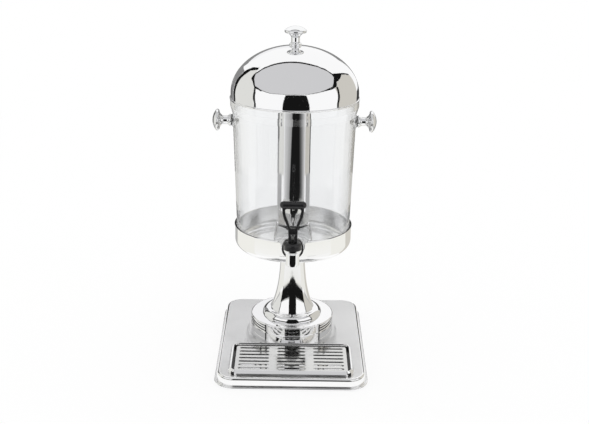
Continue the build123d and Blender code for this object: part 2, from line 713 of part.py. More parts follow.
bowl_washer = ring(COLUMN, ROD_RADIUS + HOLE_GAP, BOWL_WASHER_RADIUS, bowl_floor, bowl_floor + ROD_WASHER)
bowl_washer.part.label = "bowl_washer"
export_step(bowl_washer.part, "parts/bowl_washer.step")

# Dome nut that closes the top of the tie rod inside the bowl
dome_nut_bottom = bowl_floor + ROD_WASHER
with BuildPart() as bowl_dome_nut:
    with BuildSketch(COLUMN.offset(dome_nut_bottom)):
        RegularPolygon(ROD_NUT_FLATS / 2, side_count=6, major_radius=False)
    extrude(amount=ROD_NUT_HEIGHT)
    with BuildSketch(profile_plane(COLUMN.offset(dome_nut_bottom + ROD_NUT_HEIGHT))):
        with BuildLine():
            Polyline((CROWN_FLAT, DOME_NUT_RISE), (0, DOME_NUT_RISE), (0, 0), (DOME_NUT_RADIUS, 0))
            RadiusArc((DOME_NUT_RADIUS, 0), (CROWN_FLAT, DOME_NUT_RISE), -DOME_NUT_RADIUS)
        make_face()
    revolve(axis=turning_axis(COLUMN))
    with BuildSketch(COLUMN.offset(dome_nut_bottom)):
        Circle(ROD_RADIUS + FIT_GAP)
    extrude(amount=ROD_TOP + HOLE_GAP - dome_nut_bottom, mode=Mode.SUBTRACT)
bowl_dome_nut.part.label = "bowl_dome_nut"
export_step(bowl_dome_nut.part, "parts/bowl_dome_nut.step")

# Clear tank: a tapered moulding with a hollow cone in its floor that carries the ice tube,
# a flared lip with an upstand for the lid, a flat pad for the tap and two for the side knobs
tank_floor = TANK_BOTTOM + TANK_WALL
cone_under = CONE_TOP - TANK_WALL
stud_hole = STUD_RADIUS + HOLE_GAP
with BuildPart() as tank:
    with BuildSketch(profile_plane(COLUMN)) as tank_profile:
        with BuildLine():
            Polyline(
                (stud_hole, cone_under),
                (CONE_TOP_RADIUS - TANK_WALL, cone_under),
                (CONE_FOOT_RADIUS - TANK_WALL, TANK_BOTTOM),
                (tank_radius(TANK_BOTTOM), TANK_BOTTOM),
                (tank_radius(LIP_START), LIP_START),
                (LIP_RADIUS, LIP_Z),
                (LIP_RADIUS, LIP_TOP),
                (UPSTAND_OUTER, LIP_TOP),
                (UPSTAND_OUTER, UPSTAND_TOP),
                (UPSTAND_INNER, UPSTAND_TOP),
                (tank_radius(LIP_START) - TANK_WALL, LIP_START),
                (tank_radius(tank_floor) - TANK_WALL, tank_floor),
                (CONE_FOOT_RADIUS, tank_floor),
                (CONE_TOP_RADIUS, CONE_TOP),
                (stud_hole, CONE_TOP),
                close=True,
            )
        make_face()
        roundings = (
            ((tank_radius(TANK_BOTTOM), TANK_BOTTOM), TANK_ROUND),
            ((tank_radius(tank_floor) - TANK_WALL, tank_floor), TANK_ROUND - TANK_WALL),
            ((CONE_FOOT_RADIUS, tank_floor), CONE_FOOT_ROUND),
            ((CONE_TOP_RADIUS, CONE_TOP), CONE_TOP_ROUND),
            ((tank_radius(LIP_START), LIP_START), LIP_BEND),
            ((LIP_RADIUS, LIP_Z), LIP_ROUND),
            ((LIP_RADIUS, LIP_TOP), LIP_EDGE),
            ((UPSTAND_OUTER, UPSTAND_TOP), UPSTAND_ROUND),
            ((UPSTAND_INNER, UPSTAND_TOP), UPSTAND_ROUND),
        )
        for corner, radius in roundings:
            fillet(tank_profile.vertices().sort_by_distance(corner)[0], radius)
    revolve(axis=turning_axis(COLUMN))
    with BuildSketch(SHANK.offset(PAD_IN)):
        Circle(PAD_IN_RADIUS)
    extrude(amount=TANK_WALL + PAD_OVERLAP)
    with BuildSketch(SHANK.offset(PAD_IN + TANK_WALL)):
        Circle(PAD_RADIUS)
    extrude(amount=PAD_OUT - PAD_IN - TANK_WALL)
    with BuildSketch(SHANK.offset(PAD_IN)):
        Circle(SHANK_RADIUS + HOLE_GAP)
    extrude(amount=PAD_OUT - PAD_IN, mode=Mode.SUBTRACT)
    for seat in SIDES.values():
        with BuildSketch(seat.offset(SIDE_PAD_IN)):
            Circle(SIDE_PAD_RADIUS - TANK_WALL)
        extrude(amount=TANK_WALL)
        with BuildSketch(seat.offset(SIDE_PAD_OUT - TANK_WALL)):
            Circle(SIDE_PAD_RADIUS)
        extrude(amount=TANK_WALL)
        with BuildSketch(seat.offset(SIDE_PAD_IN)):
            Circle(KNOB_SCREW_RADIUS + HOLE_GAP)
        extrude(amount=SIDE_PAD_OUT - SIDE_PAD_IN, mode=Mode.SUBTRACT)
tank.part.label = "tank"
export_step(tank.part, "parts/tank.step")

# Ice tube: a closed steel tube with a beaded mouth and a stud through the tank's cone
tube_bottom = CONE_TOP + TUBE_GASKET
tube_inner = TUBE_RADIUS - TUBE_SHEET
with BuildPart() as ice_tube:
    with BuildSketch(profile_plane(COLUMN)) as tube_profile:
        with BuildLine():
            Polyline(
                (0, STUD_BOTTOM),
                (STUD_RADIUS, STUD_BOTTOM),
                (STUD_RADIUS, tube_bottom),
                (TUBE_RADIUS, tube_bottom),
                (TUBE_RADIUS, TUBE_TOP - TUBE_BEAD),
                (tube_inner, TUBE_TOP - TUBE_BEAD),
                (tube_inner, tube_bottom + TUBE_FLOOR),
                (0, tube_bottom + TUBE_FLOOR),
                close=True,
            )
        make_face()
        fillet(tube_profile.vertices().sort_by_distance((TUBE_RADIUS, tube_bottom))[0], TUBE_FOOT_ROUND)
        with Locations((TUBE_RADIUS - TUBE_SHEET / 2, TUBE_TOP - TUBE_BEAD)):
            Circle(TUBE_BEAD)
    revolve(axis=turning_axis(COLUMN))
ice_tube.part.label = "ice_tube"
export_step(ice_tube.part, "parts/ice_tube.step")

ice_tube_gasket = ring(COLUMN, stud_hole, TUBE_GASKET_RADIUS, CONE_TOP, tube_bottom)
ice_tube_gasket.part.label = "ice_tube_gasket"
export_step(ice_tube_gasket.part, "parts/ice_tube_gasket.step")

# Lobed hand nut on the ice tube's stud, up inside the tank's cone
with BuildPart() as ice_tube_nut:
    with BuildSketch(COLUMN.offset(cone_under - TUBE_NUT_HEIGHT)):
        Circle(TUBE_NUT_RADIUS)
        with PolarLocations(TUBE_NUT_RADIUS + TUBE_NUT_SCALLOP / 2, TUBE_NUT_LOBES):
            Circle(TUBE_NUT_SCALLOP, mode=Mode.SUBTRACT)
        Circle(STUD_RADIUS + FIT_GAP, mode=Mode.SUBTRACT)
    extrude(amount=TUBE_NUT_HEIGHT)
ice_tube_nut.part.label = "ice_tube_nut"
export_step(ice_tube_nut.part, "parts/ice_tube_nut.step")

# Side knobs with their seals
side_knob_start = SIDE_PAD_OUT + SIDE_SEAL
for side, seat in SIDES.items():
    side_knob = knob(seat, side_knob_start)
    side_knob.part.label = f"side_knob_{side}"
    export_step(side_knob.part, f"parts/side_knob_{side}.step")
    knob_seal = ring(seat, KNOB_SCREW_RADIUS + HOLE_GAP, KNOB_FOOT, SIDE_PAD_OUT, side_knob_start)
    knob_seal.part.label = f"knob_seal_{side}"
    export_step(knob_seal.part, f"parts/knob_seal_{side}.step")

# Screws and washers of the side knobs, one of each inside either wall
screw_seat = SIDE_PAD_IN - WASHER
screw_tip = side_knob_start + KNOB_SCREW_DEPTH - SCREW_TIP_GAP
left_screw = knob_screw(SIDES["left"], screw_seat, screw_tip)
right_screw = knob_screw(SIDES["right"], screw_seat, screw_tip)
with BuildPart() as side_knob_screws:
    add(left_screw.part)
    add(right_screw.part)
side_knob_screws.part.label = "side_knob_screws"
export_step(side_knob_screws.part, "parts/side_knob_screws.step")

washer_hole = KNOB_SCREW_RADIUS + HOLE_GAP
left_washer = ring(SIDES["left"], washer_hole, KNOB_WASHER_RADIUS, screw_seat, SIDE_PAD_IN)
right_washer = ring(SIDES["right"], washer_hole, KNOB_WASHER_RADIUS, screw_seat, SIDE_PAD_IN)
with BuildPart() as side_knob_washers:
    add(left_washer.part)
    add(right_washer.part)
side_knob_washers.part.label = "side_knob_washers"
export_step(side_knob_washers.part, "parts/side_knob_washers.step")

# Tap body: an upright barrel with its spout, on a level neck, flange and threaded shank
flange_in = PAD_OUT + OUTER_WASHER
flange_out = flange_in + FLANGE
band_z = SHOULDER_Z - SHOULDER_BAND
with BuildPart() as tap_body:
    with BuildSketch(profile_plane(TAP)):
        with BuildLine():
            Polyline(
                (0, SPOUT_BOTTOM),
                (SPOUT_RADIUS - SPOUT_BEVEL, SPOUT_BOTTOM),
                (SPOUT_RADIUS, SPOUT_BOTTOM + SPOUT_BEVEL),
                (SPOUT_RADIUS, BULB_Z),
            )
            Spline((SPOUT_RADIUS, BULB_Z), (SHOULDER_RADIUS, band_z), tangents=[(0, 1), (0, 1)])
            Polyline(
                (SHOULDER_RADIUS, band_z),
                (SHOULDER_RADIUS, SHOULDER_Z),
                (SPIGOT_RADIUS, SHOULDER_Z),
                (SPIGOT_RADIUS, SPIGOT_TOP),
                (0, SPIGOT_TOP),
                (0, SPOUT_BOTTOM),
            )
        make_face()
    revolve(axis=turning_axis(TAP))
    with BuildSketch(SHANK.offset(flange_out)):
        Circle(TAP_NECK_RADIUS)
    extrude(amount=TAP_REACH - flange_out)
    with BuildSketch(profile_plane(SHANK)) as shank_profile:
        with BuildLine():
            Polyline(
                (0, SHANK_END),
                (SHANK_RADIUS, SHANK_END),
                (SHANK_RADIUS, flange_in),
                (FLANGE_RADIUS, flange_in),
                (FLANGE_RADIUS, flange_out),
                (0, flange_out),
                close=True,
            )
        make_face()
        chamfer(shank_profile.vertices().sort_by_distance((SHANK_RADIUS, SHANK_END))[0], SHANK_BEVEL)
        fillet(shank_profile.vertices().sort_by_distance((FLANGE_RADIUS, flange_out))[0], FLANGE_ROUND)
    revolve(axis=turning_axis(SHANK))
    with BuildSketch(TAP.offset(VALVE_SEAT_Z)):
        Circle(CHAMBER_RADIUS)
    extrude(amount=SPIGOT_TOP - VALVE_SEAT_Z, mode=Mode.SUBTRACT)
    with BuildSketch(TAP.offset(SPOUT_BOTTOM)):
        Circle(VALVE_SEAT_RADIUS)
    extrude(amount=VALVE_SEAT_Z - SPOUT_BOTTOM, mode=Mode.SUBTRACT)
    with BuildSketch(TAP.offset(SPOUT_BOTTOM)):
        Circle(SPOUT_BORE)
    extrude(amount=SPOUT_BORE_TOP - SPOUT_BOTTOM, mode=Mode.SUBTRACT)
    with BuildSketch(SHANK.offset(SHANK_END)):
        Circle(SHANK_BORE)
    extrude(amount=TAP_REACH - SHANK_END, mode=Mode.SUBTRACT)
tap_body.part.label = "tap_body"
export_step(tap_body.part, "parts/tap_body.step")

shank_hole = SHANK_RADIUS + HOLE_GAP
tap_outer_washer = ring(SHANK, shank_hole, OUTER_WASHER_RADIUS, PAD_OUT, flange_in)
tap_outer_washer.part.label = "tap_outer_washer"
export_step(tap_outer_washer.part, "parts/tap_outer_washer.step")

tap_nut_end = PAD_IN - INNER_WASHER
tap_inner_washer = ring(SHANK, shank_hole, INNER_WASHER_RADIUS, tap_nut_end, PAD_IN)
tap_inner_washer.part.label = "tap_inner_washer"
export_step(tap_inner_washer.part, "parts/tap_inner_washer.step")

tap_nut = hex_nut(
    SHANK,
    TAP_NUT_FLATS,
    SHANK_RADIUS + FIT_GAP,
    tap_nut_end - TAP_NUT_HEIGHT,
    tap_nut_end,
)
tap_nut.part.label = "tap_nut"
export_step(tap_nut.part, "parts/tap_nut.step")

# Bonnet: the cap that closes the barrel, guides the stem and holds its seal in a groove
stem_hole = STEM_RADIUS + STEM_GAP
spigot_hole = SPIGOT_RADIUS + FIT_GAP
bonnet_bottom = SHOULDER_Z + BONNET_GAP
with BuildPart() as tap_bonnet:
    with BuildSketch(profile_plane(TAP)):
        with BuildLine():
            Polyline(
                (spigot_hole, bonnet_bottom),
                (BONNET_RADIUS, bonnet_bottom),
                (BONNET_RADIUS, BONNET_EDGE_Z),
            )
            RadiusArc((BONNET_RADIUS, BONNET_EDGE_Z), (BONNET_TOP_RADIUS, BONNET_TOP), -BONNET_ROUND)
            Polyline(
                (BONNET_TOP_RADIUS, BONNET_TOP),
                (stem_hole, BONNET_TOP),
                (stem_hole, SEAL_TOP),
                (SEAL_RADIUS, SEAL_TOP),
                (SEAL_RADIUS, SEAL_BOTTOM),
                (stem_hole, SEAL_BOTTOM),
                (stem_hole, BONNET_ROOF),
                (spigot_hole, BONNET_ROOF),
                (spigot_hole, bonnet_bottom),
            )
        make_face()
    revolve(axis=turning_axis(TAP))
tap_bonnet.part.label = "tap_bonnet"
export_step(tap_bonnet.part, "parts/tap_bonnet.step")

stem_seal = ring(TAP, STEM_RADIUS + FIT_GAP, SEAL_RADIUS - FIT_GAP, SEAL_BOTTOM, SEAL_TOP)
stem_seal.part.label = "stem_seal"
export_step(stem_seal.part, "parts/stem_seal.step")

# Valve stem: a rod with a flange above the plug and an eye at the top for the lever pin
with BuildPart() as valve_stem:
    with BuildSketch(TAP.offset(STEM_BOTTOM)):
        Circle(STEM_RADIUS)
    extrude(amount=PIN_Z - EYE_RADIUS / 2 - STEM_BOTTOM)
    with BuildSketch(TAP.offset(PLUG_TOP)):
        Circle(STEM_FLANGE_RADIUS)
    extrude(amount=STEM_FLANGE)
    with BuildSketch(PIN.offset(-EYE_HALF)):
        Circle(EYE_RADIUS)
    extrude(amount=2 * EYE_HALF)
    with BuildSketch(PIN.offset(-EYE_HALF)):
        Circle(PIN_RADIUS + PIN_GAP)
    extrude(amount=2 * EYE_HALF, mode=Mode.SUBTRACT)
valve_stem.part.label = "valve_stem"
export_step(valve_stem.part, "parts/valve_stem.step")

# Valve plug: a soft cone-edged stopper pushed onto the end of the stem
with BuildPart() as valve_plug:
    with BuildSketch(TAP.offset(PLUG_BOTTOM)):
        Circle(PLUG_RADIUS)
    extrude(amount=PLUG_TOP - PLUG_BOTTOM)
    chamfer(valve_plug.faces().sort_by(Axis.Z)[-1].edges(), PLUG_BEVEL)
    with BuildSketch(TAP.offset(STEM_BOTTOM)):
        Circle(STEM_RADIUS + FIT_GAP)
    extrude(amount=PLUG_TOP - STEM_BOTTOM, mode=Mode.SUBTRACT)
valve_plug.part.label = "valve_plug"
export_step(valve_plug.part, "parts/valve_plug.step")

# Valve spring: an open coil between the stem's flange and the bonnet's roof
spring_bottom = PLUG_TOP + STEM_FLANGE + SPRING_WIRE + FIT_GAP
spring_height = BONNET_ROOF - SPRING_WIRE - FIT_GAP - spring_bottom
with BuildPart() as valve_spring:
    with BuildLine() as spring_line:
        Helix(
            pitch=spring_height / SPRING_TURNS,
            height=spring_height,
            radius=SPRING_RADIUS,
            center=(0, TAP_Y, spring_bottom),
        )
    with BuildSketch(Plane(origin=spring_line.line @ 0, z_dir=spring_line.line % 0)):
        Circle(SPRING_WIRE)
    sweep()
valve_spring.part.label = "valve_spring"
export_step(valve_spring.part, "parts/valve_spring.step")

# Tap lever: a paddle with a finger loop under a thick thumb bar. Its foot is a cam that bears on
# the bonnet, so tipping the lever draws the stem up
bar_half = LEVER_BAR_LENGTH / 2
bar_straight = bar_half - LEVER_BAR_RADIUS
foot_tall = LEVER_FOOT_RISE + LEVER_FOOT_DROP
with BuildPart() as tap_lever:
    with BuildSketch(LEVER.offset(-LEVER_DEPTH / 2)):
        with BuildLine():
            Polyline((0, LEVER_BAR_Y), (0, 0), (LEVER_FOOT_HALF, 0), (LEVER_WAIST, LEVER_WAIST_Y))
            Spline(
                (LEVER_WAIST, LEVER_WAIST_Y),
                *LEVER_SIDE,
                (LEVER_SHOULDER, LEVER_BAR_Y),
                tangents=[(LEVER_WAIST_LEAN, 1), (LEVER_SHOULDER_LEAN, 1)],
            )
            Line((LEVER_SHOULDER, LEVER_BAR_Y), (0, LEVER_BAR_Y))
        make_face()
        mirror(about=Plane.YZ)
    extrude(amount=LEVER_DEPTH)
    with BuildSketch(LEVER.offset(-LEVER_DEPTH / 2)) as loop_opening:
        with BuildLine():
            Line((0, LOOP_TOP_Y), (0, LOOP_BOTTOM_Y))
            loop_bottom = JernArc((0, LOOP_BOTTOM_Y), (1, 0), LOOP_BOTTOM_RADIUS, LOOP_BOTTOM_TURN)
            Spline(
                loop_bottom @ 1,
                *LOOP_SIDE,
                (LOOP_TOP_HALF, LOOP_TOP_Y),
                tangents=[loop_bottom % 1, (LEVER_SHOULDER_LEAN, 1)],
            )
            Line((LOOP_TOP_HALF, LOOP_TOP_Y), (0, LOOP_TOP_Y))
        make_face()
        loop_corner = loop_opening.vertices().sort_by_distance((LOOP_TOP_HALF, LOOP_TOP_Y))[0]
        fillet(loop_corner, LOOP_CORNER)
        mirror(about=Plane.YZ)
    extrude(amount=LEVER_DEPTH, mode=Mode.SUBTRACT)
    for face_index in (0, -1):
        broad_face = tap_lever.faces().sort_by(Axis.Y)[face_index]
        rim_edges = broad_face.outer_wire().edges().filter_by(Axis.X, reverse=True)
        fillet(rim_edges + broad_face.inner_wires()[0].edges(), LEVER_EDGE)
    with BuildSketch(profile_plane(BAR)):
        with BuildLine():
            Polyline((CROWN_FLAT, bar_half), (0, bar_half), (0, -bar_half), (CROWN_FLAT, -bar_half))
            RadiusArc((CROWN_FLAT, -bar_half), (LEVER_BAR_RADIUS, -bar_straight), -LEVER_BAR_RADIUS)
            Line((LEVER_BAR_RADIUS, -bar_straight), (LEVER_BAR_RADIUS, bar_straight))
            RadiusArc((LEVER_BAR_RADIUS, bar_straight), (CROWN_FLAT, bar_half), -LEVER_BAR_RADIUS)
        make_face()
    revolve(axis=turning_axis(BAR))
    with BuildSketch(PIN.offset(-LEVER_FOOT_HALF)):
        with Locations((0, foot_tall / 2 - LEVER_FOOT_DROP)):
            RectangleRounded(2 * LEVER_FOOT_DEPTH, foot_tall, LEVER_CAM)
    extrude(amount=2 * LEVER_FOOT_HALF)
    with BuildSketch(PIN.offset(-LEVER_SLOT)):
        with Locations((0, LEVER_SLOT_TOP)):
            Rectangle(3 * LEVER_FOOT_DEPTH, 2 * foot_tall, align=(Align.CENTER, Align.MAX))
    extrude(amount=2 * LEVER_SLOT, mode=Mode.SUBTRACT)
    with BuildSketch(PIN.offset(-LEVER_FOOT_HALF)):
        Circle(PIN_RADIUS + PIN_GRIP_GAP)
    extrude(amount=2 * LEVER_FOOT_HALF, mode=Mode.SUBTRACT)
tap_lever.part.label = "tap_lever"
export_step(tap_lever.part, "parts/tap_lever.step")

with BuildPart() as lever_pin:
    with BuildSketch(PIN.offset(PIN_INSET - LEVER_FOOT_HALF)):
        Circle(PIN_RADIUS)
    extrude(amount=2 * (LEVER_FOOT_HALF - PIN_INSET))
lever_pin.part.label = "lever_pin"
export_step(lever_pin.part, "parts/lever_pin.step")

# Dome lid: half an ellipsoid of sheet on a short skirt with a beaded rim, flat under the knob
seat_drop = LID_EQUATOR + LID_RISE - LID_SEAT
lid_hole = KNOB_SCREW_RADIUS + HOLE_GAP
lid_inner = LID_RADIUS - LID_SHEET
with BuildPart() as lid_dome:
    with BuildSketch(profile_plane(COLUMN)) as lid_profile:
        with Locations((0, LID_EQUATOR)):
            Ellipse(LID_RADIUS, LID_RISE)
            Ellipse(lid_inner, LID_RISE - LID_SHEET - seat_drop, mode=Mode.SUBTRACT)
        with Locations((lid_hole, LID_EQUATOR)):
            Rectangle(LID_RADIUS, LID_SEAT - LID_EQUATOR, align=Align.MIN, mode=Mode.INTERSECT)
        with Locations((lid_inner, LID_RIM_BOTTOM)):
            Rectangle(LID_SHEET, LID_EQUATOR - LID_RIM_BOTTOM, align=Align.MIN)
            Rectangle(LID_RIM_RADIUS - lid_inner, LID_RIM_HEIGHT, align=Align.MIN)
        for rim_z in (LID_RIM_BOTTOM, LID_RIM_BOTTOM + LID_RIM_HEIGHT):
            rim_corner = lid_profile.vertices().sort_by_distance((LID_RIM_RADIUS, rim_z))[0]
            fillet(rim_corner, LID_RIM_ROUND)
    revolve(axis=turning_axis(COLUMN))
lid_dome.part.label = "lid_dome"
export_step(lid_dome.part, "parts/lid_dome.step")

lid_knob = knob(LID_TOP, 0)
lid_knob.part.label = "lid_knob"
export_step(lid_knob.part, "parts/lid_knob.step")

lid_washer_top = -LID_SHEET - LID_WASHER_DROP
lid_washer_bottom = lid_washer_top - WASHER
lid_knob_washer = ring(LID_TOP, lid_hole, KNOB_WASHER_RADIUS, lid_washer_bottom, lid_washer_top)
lid_knob_washer.part.label = "lid_knob_washer"
export_step(lid_knob_washer.part, "parts/lid_knob_washer.step")

lid_knob_screw = knob_screw(LID_TOP, lid_washer_bottom, KNOB_SCREW_DEPTH - SCREW_TIP_GAP)
lid_knob_screw.part.label = "lid_knob_screw"
export_step(lid_knob_screw.part, "parts/lid_knob_screw.step")
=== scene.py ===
import math

import bpy
from bpy.props import FloatProperty, FloatVectorProperty, PointerProperty
from bpy.types import Operator, Panel, PropertyGroup
from mathutils import Matrix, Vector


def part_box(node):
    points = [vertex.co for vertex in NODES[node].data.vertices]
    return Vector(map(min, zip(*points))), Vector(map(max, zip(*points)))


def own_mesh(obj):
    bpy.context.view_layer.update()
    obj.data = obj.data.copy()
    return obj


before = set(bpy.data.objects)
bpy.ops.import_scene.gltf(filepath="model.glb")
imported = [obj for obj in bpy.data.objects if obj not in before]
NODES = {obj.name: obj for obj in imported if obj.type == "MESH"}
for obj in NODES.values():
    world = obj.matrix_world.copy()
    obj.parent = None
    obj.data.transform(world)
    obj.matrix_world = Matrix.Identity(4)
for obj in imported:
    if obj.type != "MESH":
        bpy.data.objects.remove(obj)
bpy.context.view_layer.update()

bl_info = {
    "name": "Juice dispenser looks",
    "version": (1, 0, 0),
    "blender": (4, 5, 0),
    "location": "View3D > Sidebar > Dispenser",
    "description": "Finishes a buffet juice dispenser around its packed frame",
    "category": "Object",
}

# The upright axis of pedestal, tank and lid, and the places of drum, bowl and drip tray, from the frame
COLUMN_LOW, COLUMN_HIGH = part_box("column")
AXIS_Y = (COLUMN_LOW.y + COLUMN_HIGH.y) / 2
DRUM_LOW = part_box("drum_ring")[0]
DRUM_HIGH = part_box("drum_cap")[1]
BOWL_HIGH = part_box("cradle_bowl")[1]
PAN_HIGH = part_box("drip_pan")[1]
GRILLE_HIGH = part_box("drip_grille")[1]

# Width of the pan's rim, and how far the painted shade of the finger gaps reaches under the grille's edge
PAN_RIM = 0.0051
GRILLE_EDGE = 0.002


# Settings that a user would change


class CameraSettings(PropertyGroup):
    """Where the photograph was taken from."""

    lens: FloatProperty(
        name="Lens", description="Focal length on a sensor 36 mm wide", default=63.26, unit="CAMERA"
    )
    place: FloatVectorProperty(
        name="Place", description="Where the camera stands", default=(0.0022, -1.716, 0.829),
        subtype="TRANSLATION", unit="LENGTH",
    )
    pitch: FloatProperty(
        name="Pitch", description="How far the camera looks down", default=math.radians(18.43),
        subtype="ANGLE",
    )
    roll: FloatProperty(
        name="Roll", description="How far the camera is turned about its own line of sight",
        default=math.radians(0.786), subtype="ANGLE",
    )


class StudioSettings(PropertyGroup):
    """The white light tent round the object, with the cards that polished steel mirrors."""

    tent_radius: FloatProperty(
        name="Tent radius", description="From the column to the tent's walls", default=1.1, unit="LENGTH"
    )
    tent_top: FloatProperty(
        name="Tent top", description="Height of the tent's roof", default=0.95, unit="LENGTH"
    )
    floor_shade: FloatProperty(
        name="Floor shade", description="How much of the floor's white is taken away in full shadow",
        default=0.2, min=0, max=1, subtype="FACTOR",
    )
    # Also the tone of the painted floor shadows and of the boards that paint dark reflections on the steel
    dark: FloatVectorProperty(
        name="Dark", description="The dark room behind the camera, and the tent's poles",
        default=(0.008, 0.008, 0.008), subtype="COLOR",
    )
    dim: FloatVectorProperty(
        name="Dim", description="The tent's left rear corner, and a board behind the tank",
        default=(0.26, 0.26, 0.26), subtype="COLOR",
    )
    roof: FloatVectorProperty(
        name="Roof", description="The tent's roof", default=(0.63, 0.63, 0.64), subtype="COLOR"
    )
    left: FloatVectorProperty(
        name="Left side", description="The tent's left side wall", default=(0.76, 0.76, 0.73), subtype="COLOR"
    )
    right: FloatVectorProperty(
        name="Right side", description="The tent's right side wall", default=(0.62, 0.60, 0.55),
        subtype="COLOR",
    )
    rear_low: FloatVectorProperty(
        name="Rear, low", description="The foot of the tent's rear wall", default=(0.04, 0.04, 0.04),
        subtype="COLOR",
    )
    rear_left: FloatVectorProperty(
        name="Rear, left", description="The left half of the tent's rear wall", default=(0.92, 0.92, 0.93),
        subtype="COLOR",
    )
    rear_right: FloatVectorProperty(
        name="Rear, right", description="The right half of the tent's rear wall", default=(1.0, 1.0, 1.0),
        subtype="COLOR",
    )
    rear_floor: FloatVectorProperty(
        name="Rear floor", description="The floor far behind, and the drum's lowest line",
        default=(0.45, 0.45, 0.45), subtype="COLOR",
    )
    floor_near: FloatVectorProperty(
        name="Floor, near", description="The floor close to the object", default=(0.92, 0.92, 0.91),
        subtype="COLOR",
    )
    floor_middle: FloatVectorProperty(
        name="Floor, middle", description="The floor in front of the object", default=(0.86, 0.855, 0.81),
        subtype="COLOR",
    )
    floor_far: FloatVectorProperty(
        name="Floor, far", description="The floor towards the camera", default=(0.47, 0.47, 0.46),
        subtype="COLOR",
    )


class FinishSettings(PropertyGroup):
    """Colours and gloss of the object's materials."""

    steel: FloatVectorProperty(
        name="Polished steel", description="Colour of the mirror-polished steel", default=(0.94, 0.94, 0.945),
        subtype="COLOR",
    )
    steel_roughness: FloatProperty(
        name="Polished roughness", description="Roughness of the mirror-polished steel", default=0.035,
        min=0, max=1,
    )
    satin: FloatVectorProperty(
        name="Satin steel", description="Colour of the base's satin steel", default=(0.97, 0.97, 0.97),
        subtype="COLOR",
    )
    satin_roughness: FloatProperty(
        name="Satin roughness", description="Roughness of the base's satin steel", default=0.34, min=0, max=1
    )
    tray: FloatVectorProperty(
        name="Tray steel", description="Colour of the grille's steel", default=(0.72, 0.72, 0.71),
        subtype="COLOR",
    )
    tray_roughness: FloatProperty(
        name="Tray roughness", description="Roughness of the grille's steel", default=0.12, min=0, max=1
    )
    chrome: FloatVectorProperty(
        name="Chrome", description="Colour of the chromed brass", default=(0.93, 0.935, 0.94), subtype="COLOR"
    )
    clear: FloatVectorProperty(
        name="Clear plastic", description="Colour of the tank's clear plastic", default=(0.965, 0.97, 0.975),
        subtype="COLOR",
    )
    black: FloatVectorProperty(
        name="Black plastic", description="Colour of the lever's plastic", default=(0.012, 0.012, 0.013),
        subtype="COLOR",
    )
    rubber: FloatVectorProperty(
        name="Rubber", description="Colour of feet, washers and seals", default=(0.015, 0.015, 0.015),
        subtype="COLOR",
    )
    bowl: FloatVectorProperty(
        name="Bowl steel", description="Colour of the cradle bowl's steel", default=(0.99, 0.99, 0.99),
        subtype="COLOR",
    )
    bowl_roughness: FloatProperty(
        name="Bowl roughness", description="Roughness of the cradle bowl's inside", default=0.26, min=0, max=1
    )
    # Painted shade: this dark colour stands for the shadow in the drip pan's finger gaps
    pan: FloatVectorProperty(
        name="Pan inside", description="Colour of the drip pan in its finger gaps",
        default=(0.03, 0.03, 0.03), subtype="COLOR",
    )
    plain: FloatVectorProperty(
        name="Plain steel", description="Colour of the inner fixings", default=(0.62, 0.62, 0.61),
        subtype="COLOR",
    )


# Shader building


# Depth of every bump, in metres
BUMP_DEPTH = 0.0002
# Rings that the lathe leaves on polished steel
SPUN_FINENESS = 1400.0
SPUN_BUMP = 0.012
# How finely handling marks polished steel, and how much rougher it is there
POLISH_MARKS = 30.0
POLISH_WEAR = 1.8
TRAY_WEAR = 1.4
# Upward part of the normal where polish begins to turn satin, and where it is all satin
LEVEL_START = 0.97
LEVEL_FULL = 0.995
# Outward part of the normal, times the radius, where the bowl's inside is all satin
BOWL_INSIDE = -0.03
# Where the noise of handling marks begins to show, and where it shows in full
MARK_START = 0.35
MARK_FULL = 0.7
CLEAR_IOR = 1.49


def add_node(tree, kind, **settings):
    made = tree.nodes.new(kind)
    for key, value in settings.items():
        setattr(made, key, value)
    return made


def feed(tree, value, socket):
    """Sets a plain number on a socket, or links another socket to it."""
    if isinstance(value, (int, float)):
        socket.default_value = value
    else:
        tree.links.new(value, socket)


def math_node(tree, operation, first, second=0.0):
    """The outcome of a math node on sockets or plain numbers."""
    made = add_node(tree, "ShaderNodeMath", operation=operation)
    feed(tree, first, made.inputs[0])
    feed(tree, second, made.inputs[1])
    return made.outputs["Value"]


def smooth_step(tree, value, low, high, at_low, at_high):
    """Goes smoothly from at_low to at_high while a value goes from low to high."""
    made = add_node(tree, "ShaderNodeMapRange", interpolation_type="SMOOTHSTEP")
    labels = ("Value", "From Min", "From Max", "To Min", "To Max")
    for label, given in zip(labels, (value, low, high, at_low, at_high)):
        feed(tree, given, made.inputs[label])
    return made.outputs["Result"]


def split_axes(tree, output):
    """X, Y and Z of a piece's own coordinates or of its normals."""
    place = add_node(tree, "ShaderNodeTexCoord")
    split = add_node(tree, "ShaderNodeSeparateXYZ")
    tree.links.new(place.outputs[output], split.inputs["Vector"])
    return split.outputs["X"], split.outputs["Y"], split.outputs["Z"]


def join_axes(tree, *values):
    join = add_node(tree, "ShaderNodeCombineXYZ")
    for value, socket in zip(values, join.inputs):
        tree.links.new(value, socket)
    return join.outputs["Vector"]


def noise_at(tree, place, fineness, detail, **settings):
    """A noise texture whose place and fineness come from sockets."""
    noise = add_node(tree, "ShaderNodeTexNoise", **settings)
    noise.inputs["Detail"].default_value = detail
    tree.links.new(place, noise.inputs["Vector"])
    tree.links.new(fineness, noise.inputs["Scale"])
    return noise


def new_group(name, inputs, output):
    """A shader node group with named sockets, its input node and its output node."""
    group = bpy.data.node_groups.new(name, "ShaderNodeTree")
    for label, default in inputs:
        socket = group.interface.new_socket(label, in_out="INPUT", socket_type="NodeSocketFloat")
        socket.default_value = default
    group.interface.new_socket(output, in_out="OUTPUT", socket_type="NodeSocketFloat")
    start = group.nodes.new("NodeGroupInput")
    end = group.nodes.new("NodeGroupOutput")
    return group, start, end


